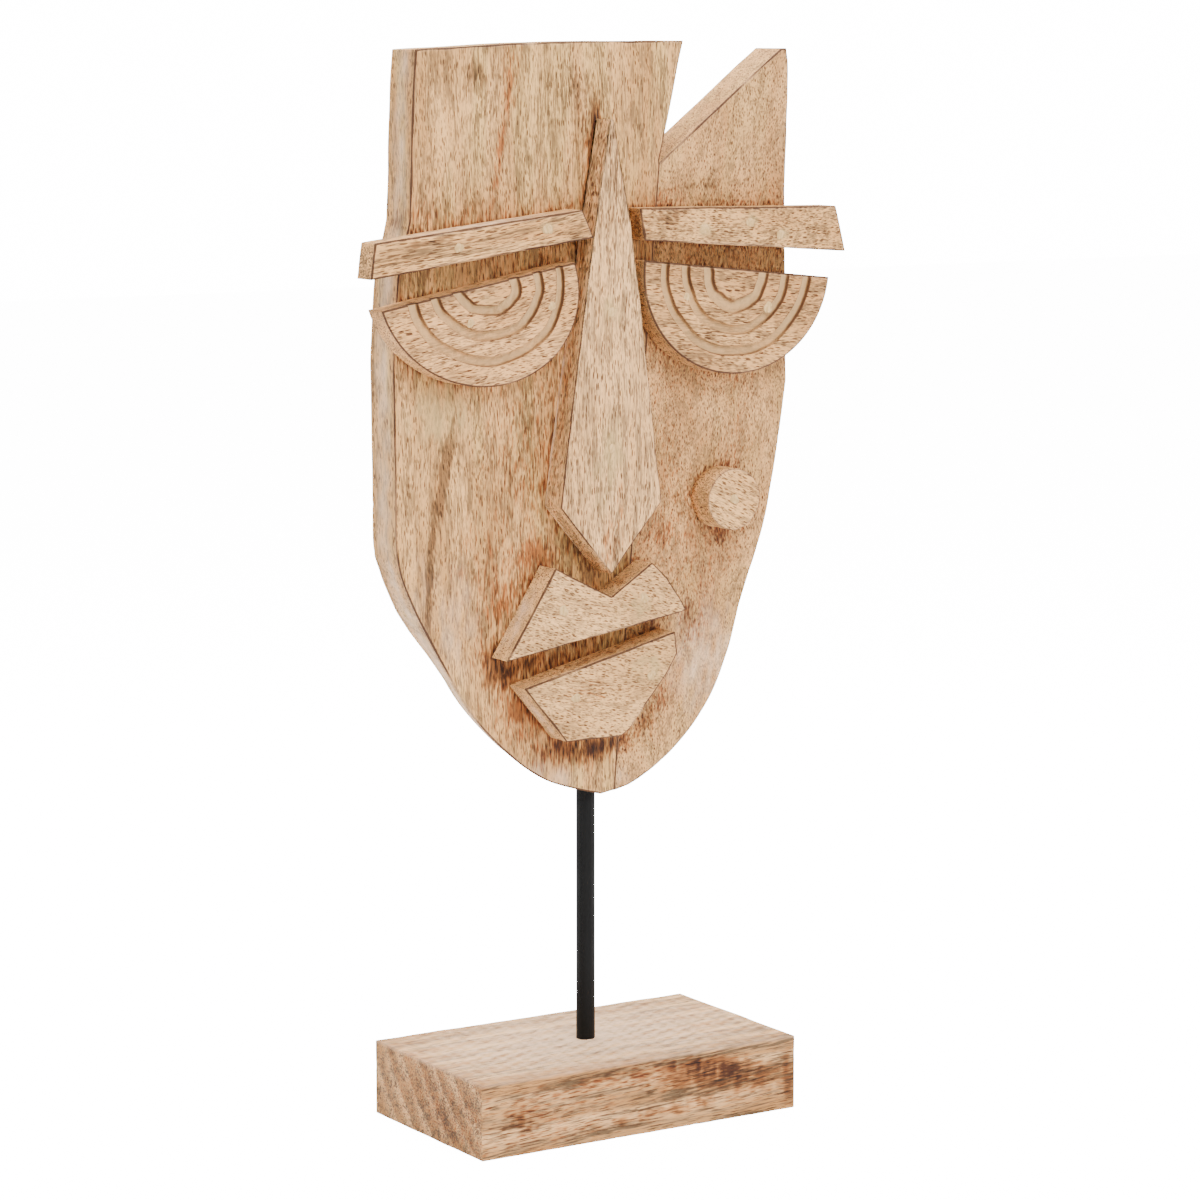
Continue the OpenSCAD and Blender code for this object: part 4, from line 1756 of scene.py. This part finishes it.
@dataclass
class Features:
    """Nose, brows, eyes, cheek disc and lips, with the filler over their nails."""

    nose: Nose = field(default_factory=lambda: Nose(
        "nose", "mask", "feature_wood", across=60, up=260, arris=0.4 * MM, seed=31,
        corners=((0.5, 0, -1.5), (0.5, 0, 1.5), (0.56, 1, 0), (0.5, 1, 0)),
        wood=Wood(pale=(0.70, 0.400, 0.172), warm=(0.50, 0.262, 0.100), pore=(0.095, 0.044, 0.018),
                  grain=(0.0, 0.06, 1.0), pith=(120, 60), bands=0.2, clouds=0.45,
                  spacing=1.3 * MM, stretch=4.2, width=0.25, fibres=0.75, depth=1.0,
                  reach=16 * MM),
        marks=patches(
            rust=((-18, 410, 24, 110, 0, 0.6, -19, 5), (-3, 309, 5, 12, 0, 0.9),
                  (3, 330, 2, 16, 0, 0.5)),
            bleach=((-18, 400, 30, 110, 0, 1.0, -13, 1.6),),
            weather=((-2, 505, 14, 42, 0, 0.45),),
            resin=((-1, 432, 7, 8, 0, 0.7), (-1, 360, 9, 16, 0, 0.8), (-10, 340, 10, 22, 0, 0.4)),
        )))
    left_brow: Plank = field(default_factory=lambda: Plank(
        "left_brow", "mask", "feature_wood", across=150, up=30, seed=32,
        corners=((0, 0, 0), (1, 0.5, 0), (0.95, 1, 0), (0.03, 0.5, 0)),
        wood=Wood(grain=(1.0, 0.03, 0.13), bands=0.35, clouds=0.5, stretch=5.5, width=0.28,
                  fibres=0.9, reach=18 * MM),
        marks=patches(
            weather=((-109, 470, 20, 2.2, 9, 0.9), (-84, 471, 14, 2.5, 7, 0.5)),
            bleach=((-80, 478, 50, 2.0, 6, 0.8),),
            resin=((-39, 476, 5, 3, 0, 0.9),),
        )))
    right_brow: Plank = field(default_factory=lambda: Plank(
        "right_brow", "mask", "feature_wood", across=150, up=34, seed=33,
        corners=((0.03, 0.35, 0), (1, 0, 0), (0.94, 0.95, 0), (0, 1, 0)),
        wood=Wood(pale=(0.64, 0.345, 0.130), grain=(1.0, 0.25, -0.07), bands=0.15, clouds=0.55,
                  stretch=3.2, width=0.29, fibres=0.7, reach=7 * MM),
        marks=patches(
            weather=((36, 479, 10, 6, 0, 0.9),),
            scorch=((18, 476, 5, 10, 0, 0.5),),
            resin=((57, 472, 5, 4, 0, 0.9), (86, 476, 5, 4, 0, 0.8), (107, 468, 5, 4, 0, 0.7)),
        )))
    left_eye: Eye = field(default_factory=lambda: Eye(
        "left_eye", "mask", "feature_wood", across=190, up=150, seed=34,
        wood=Wood(pale=(0.70, 0.365, 0.142), grain=(1.0, 0.08, 0.16), bands=0.1, clouds=0.5,
                  spacing=1.1 * MM, stretch=5, width=0.27, share=0.95, fibres=0.65,
                  depth=1.0, reach=8 * MM, pore=(0.070, 0.024, 0.008)),
        marks=patches(
            scorch=((-68, 431, 8, 4, 10, 0.3),),
            resin=((-73, 440, 8, 4, 0, 0.5),),
        )))
    right_eye: Eye = field(default_factory=lambda: Eye(
        "right_eye", "mask", "feature_wood", across=190, up=150, seed=35,
        pitch=(13.5, 11.6), shift=-1.0,
        wood=Wood(pale=(0.62, 0.330, 0.125), warm=(0.38, 0.180, 0.062),
                  grain=(1.0, 0.08, -0.1), bands=0.1, clouds=0.6, spacing=1.1 * MM,
                  stretch=5, width=0.28, share=0.95, fibres=0.75, depth=1.0,
                  reach=8 * MM, pore=(0.065, 0.022, 0.007))))
    disc: CheekDisc = field(default_factory=lambda: CheekDisc(
        "cheek_disc", "mask", "feature_wood", seed=36,
        wood=Wood(grain=(1.0, 0.1, -0.45), bands=0.1, clouds=0.3, fibres=0.6,
                  stretch=3.4, width=0.29, reach=7 * MM)))
    upper_lip: Plank = field(default_factory=lambda: Plank(
        "upper_lip", "mask", "feature_wood", across=150, up=80, seed=37,
        corners=((0, 0, 0), (0.975, 0.376, 0), (1, 0.41, 0), (0.267, 1, 0)),
        wood=Wood(pale=(0.73, 0.410, 0.165), warm=(0.48, 0.245, 0.090),
                  grain=(1.0, 0.1, -0.28), bands=0.1, clouds=0.5, stretch=3.2, width=0.29,
                  spacing=1.1 * MM, fibres=0.5, reach=6 * MM),
        marks=patches(
            resin=((14, 276, 16, 7, 10, 0.6),),
            weather=((-31, 281, 9, 5, 0, 0.4),),
            # This bleach mark is painted light: it brightens the left wall of the lip, as if lit
            # from the left.
            bleach=((-52, 272, 14, 32, 0, 0.6, -19, 7),),
            scorch=((8, 290, 6, 7, 0, 0.5, -19, 6),),
        )))
    lower_lip: Plank = field(default_factory=lambda: Plank(
        "lower_lip", "mask", "feature_wood", across=120, up=80, seed=38,
        corners=((0.27, 0, 0), (0.624, 0, 0), (0.984, 1, 0), (0, 0.575, 0)),
        wood=Wood(pale=(0.70, 0.385, 0.150), warm=(0.46, 0.235, 0.085),
                  grain=(1.0, 0.1, -0.2), bands=0.1, clouds=0.5, stretch=3.2, width=0.29,
                  spacing=1.1 * MM, fibres=0.5, reach=6 * MM),
        marks=patches(
            resin=((21, 243, 10, 8, 0, 0.9),),
            rust=((-15, 233, 14, 6, 0, 0.35),),
            weather=((-18, 236, 14, 5, 0, 0.3),),
            # This bleach mark is painted light: it brightens the left wall of the lip, as if lit
            # from the left.
            bleach=((-42, 222, 14, 20, 30, 0.6, -19, 7),),
            scorch=((-5, 250, 50, 10, 10, 0.5, -20, 6),),
        )))
    fillers: Fillers = field(default_factory=lambda: Fillers(
        "nail_fillers", "mask", "wood_filler"))
    steel: Metal = Metal((0.45, 0.44, 0.42), 1.0, 0.35, 0.2 * MM)

    def make(self, groups: Groups) -> None:
        """Builds every raised piece and the fillers, and dresses the hidden nails.

        Args:
            groups: The shared node groups.
        """
        for piece in (self.nose, self.left_brow, self.right_brow, self.left_eye,
                      self.right_eye, self.disc, self.upper_lip, self.lower_lip):
            piece.make(groups)
        self.fillers.make()
        nails = bpy.data.objects["finish_nails"]
        nails.data.materials.clear()
        nails.data.materials.append(self.steel.material("nail_steel"))


# ---------------------------------------------------------------- stage


@dataclass(frozen=True)
class Lamp:
    """Soft square lamp.

    Attributes:
        name: Name of the lamp.
        place: Where it hangs.
        target: What it points at.
        size: Length of its side.
        power: Power in watts.
        colour: Colour of its light.
    """

    name: str
    place: tuple[float, float, float]
    target: tuple[float, float, float]
    size: float
    power: float
    colour: Colour = (1.0, 1.0, 1.0)

    def make(self) -> None:
        """Hangs the lamp."""
        data = bpy.data.lights.new(self.name, "AREA")
        data.size, data.energy, data.color = self.size, self.power, self.colour
        lamp = shown(self.name, data)
        lamp.location = self.place
        aim = Vector(self.target) - Vector(self.place)
        lamp.rotation_euler = aim.to_track_quat("-Z", "Y").to_euler()


@dataclass(frozen=True)
class Studio:
    """Camera, pale floor, white surroundings and soft lamps.

    Attributes:
        eye: Where the camera stands.
        yaw_deg: Turn of the camera to the right of straight ahead.
        pitch_deg: Tilt of the camera, downwards below zero.
        lens_mm: Focal length.
        frame_mm: Width of the frame behind the lens.
        far: How far the camera sees.
        sky: Brightness of the surroundings as light.
        backdrop: Brightness of the surroundings as seen.
        glow: Brightness that the floor has to the eye alone.
        floor_half: Half the width of the floor.
        lamps: The lamps.
    """

    eye: tuple[float, float, float] = (-1.1132, -1.7705, 0.5788)
    yaw_deg: float = 32.372
    pitch_deg: float = -8.205
    lens_mm: float = 120.0
    frame_mm: float = 36.0
    far: float = 50.0
    sky: float = 1.1
    backdrop: float = 16.0
    glow: float = 14.0
    floor_half: float = 6.0
    lamps: tuple[Lamp, ...] = (
        Lamp("key", (-0.3, -2.0, 2.1), (0, 0, 0.35), 1.2, 80.0),
        Lamp("fill", (2.0, -1.4, 1.2), (0, 0, 0.35), 1.6, 20.0),
        Lamp("top", (0.0, 0.2, 2.4), (0, 0, 0.3), 1.4, 115.0),
    )

    def make(self) -> None:
        """Sets up the camera, floor, surroundings and lamps."""
        data = bpy.data.cameras.new("camera")
        data.lens, data.sensor_width, data.clip_end = self.lens_mm, self.frame_mm, self.far
        camera = shown("camera", data)
        camera.location = self.eye
        camera.rotation_euler = (math.radians(90 + self.pitch_deg), 0, -math.radians(self.yaw_deg))
        bpy.context.scene.camera = camera
        self.floor()
        self.surroundings()
        for lamp in self.lamps:
            lamp.make()

    def floor(self) -> None:
        """Wide pale floor, a little brighter to the eye than the light on it makes it."""
        corners = self.floor_half * np.array([(-1, -1, 0), (1, -1, 0), (1, 1, 0), (-1, 1, 0)])
        mesh = bpy.data.meshes.new("floor")
        mesh.from_pydata(corners, [], [(0, 1, 2, 3)])
        finish = Finish("pale_floor")
        seen = finish.add("LightPath").outputs["Is Camera Ray"]
        mesh.materials.append(finish.dress(
            Base_Color=(0.9, 0.9, 0.9), Roughness=0.9, Emission_Color=(1, 1, 1),
            Emission_Strength=finish.times(seen, self.glow)))
        floor = shown("floor", mesh)

    def surroundings(self) -> None:
        """White surroundings that light softly and look bright."""
        world = bpy.data.worlds.new("studio")
        world.use_nodes = True
        nodes = Nodes(world.node_tree)
        seen = nodes.add("LightPath").outputs["Is Camera Ray"]
        background = world.node_tree.nodes["Background"]
        nodes.plug(background.inputs["Color"], (1, 1, 1))
        nodes.plug(background.inputs["Strength"], nodes.rise(
            seen, 0.0, 1.0, self.sky, self.backdrop))
        bpy.context.scene.world = world


def main() -> None:
    """Builds the sub-assemblies in order around the frame."""
    logging.basicConfig(level=logging.INFO, format="%(name)s %(message)s")
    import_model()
    Studio().make()
    groups = Groups()
    Stand().make(groups)
    Boards().make(groups)
    Features().make(groups)


if __name__ == "__main__":
    main()
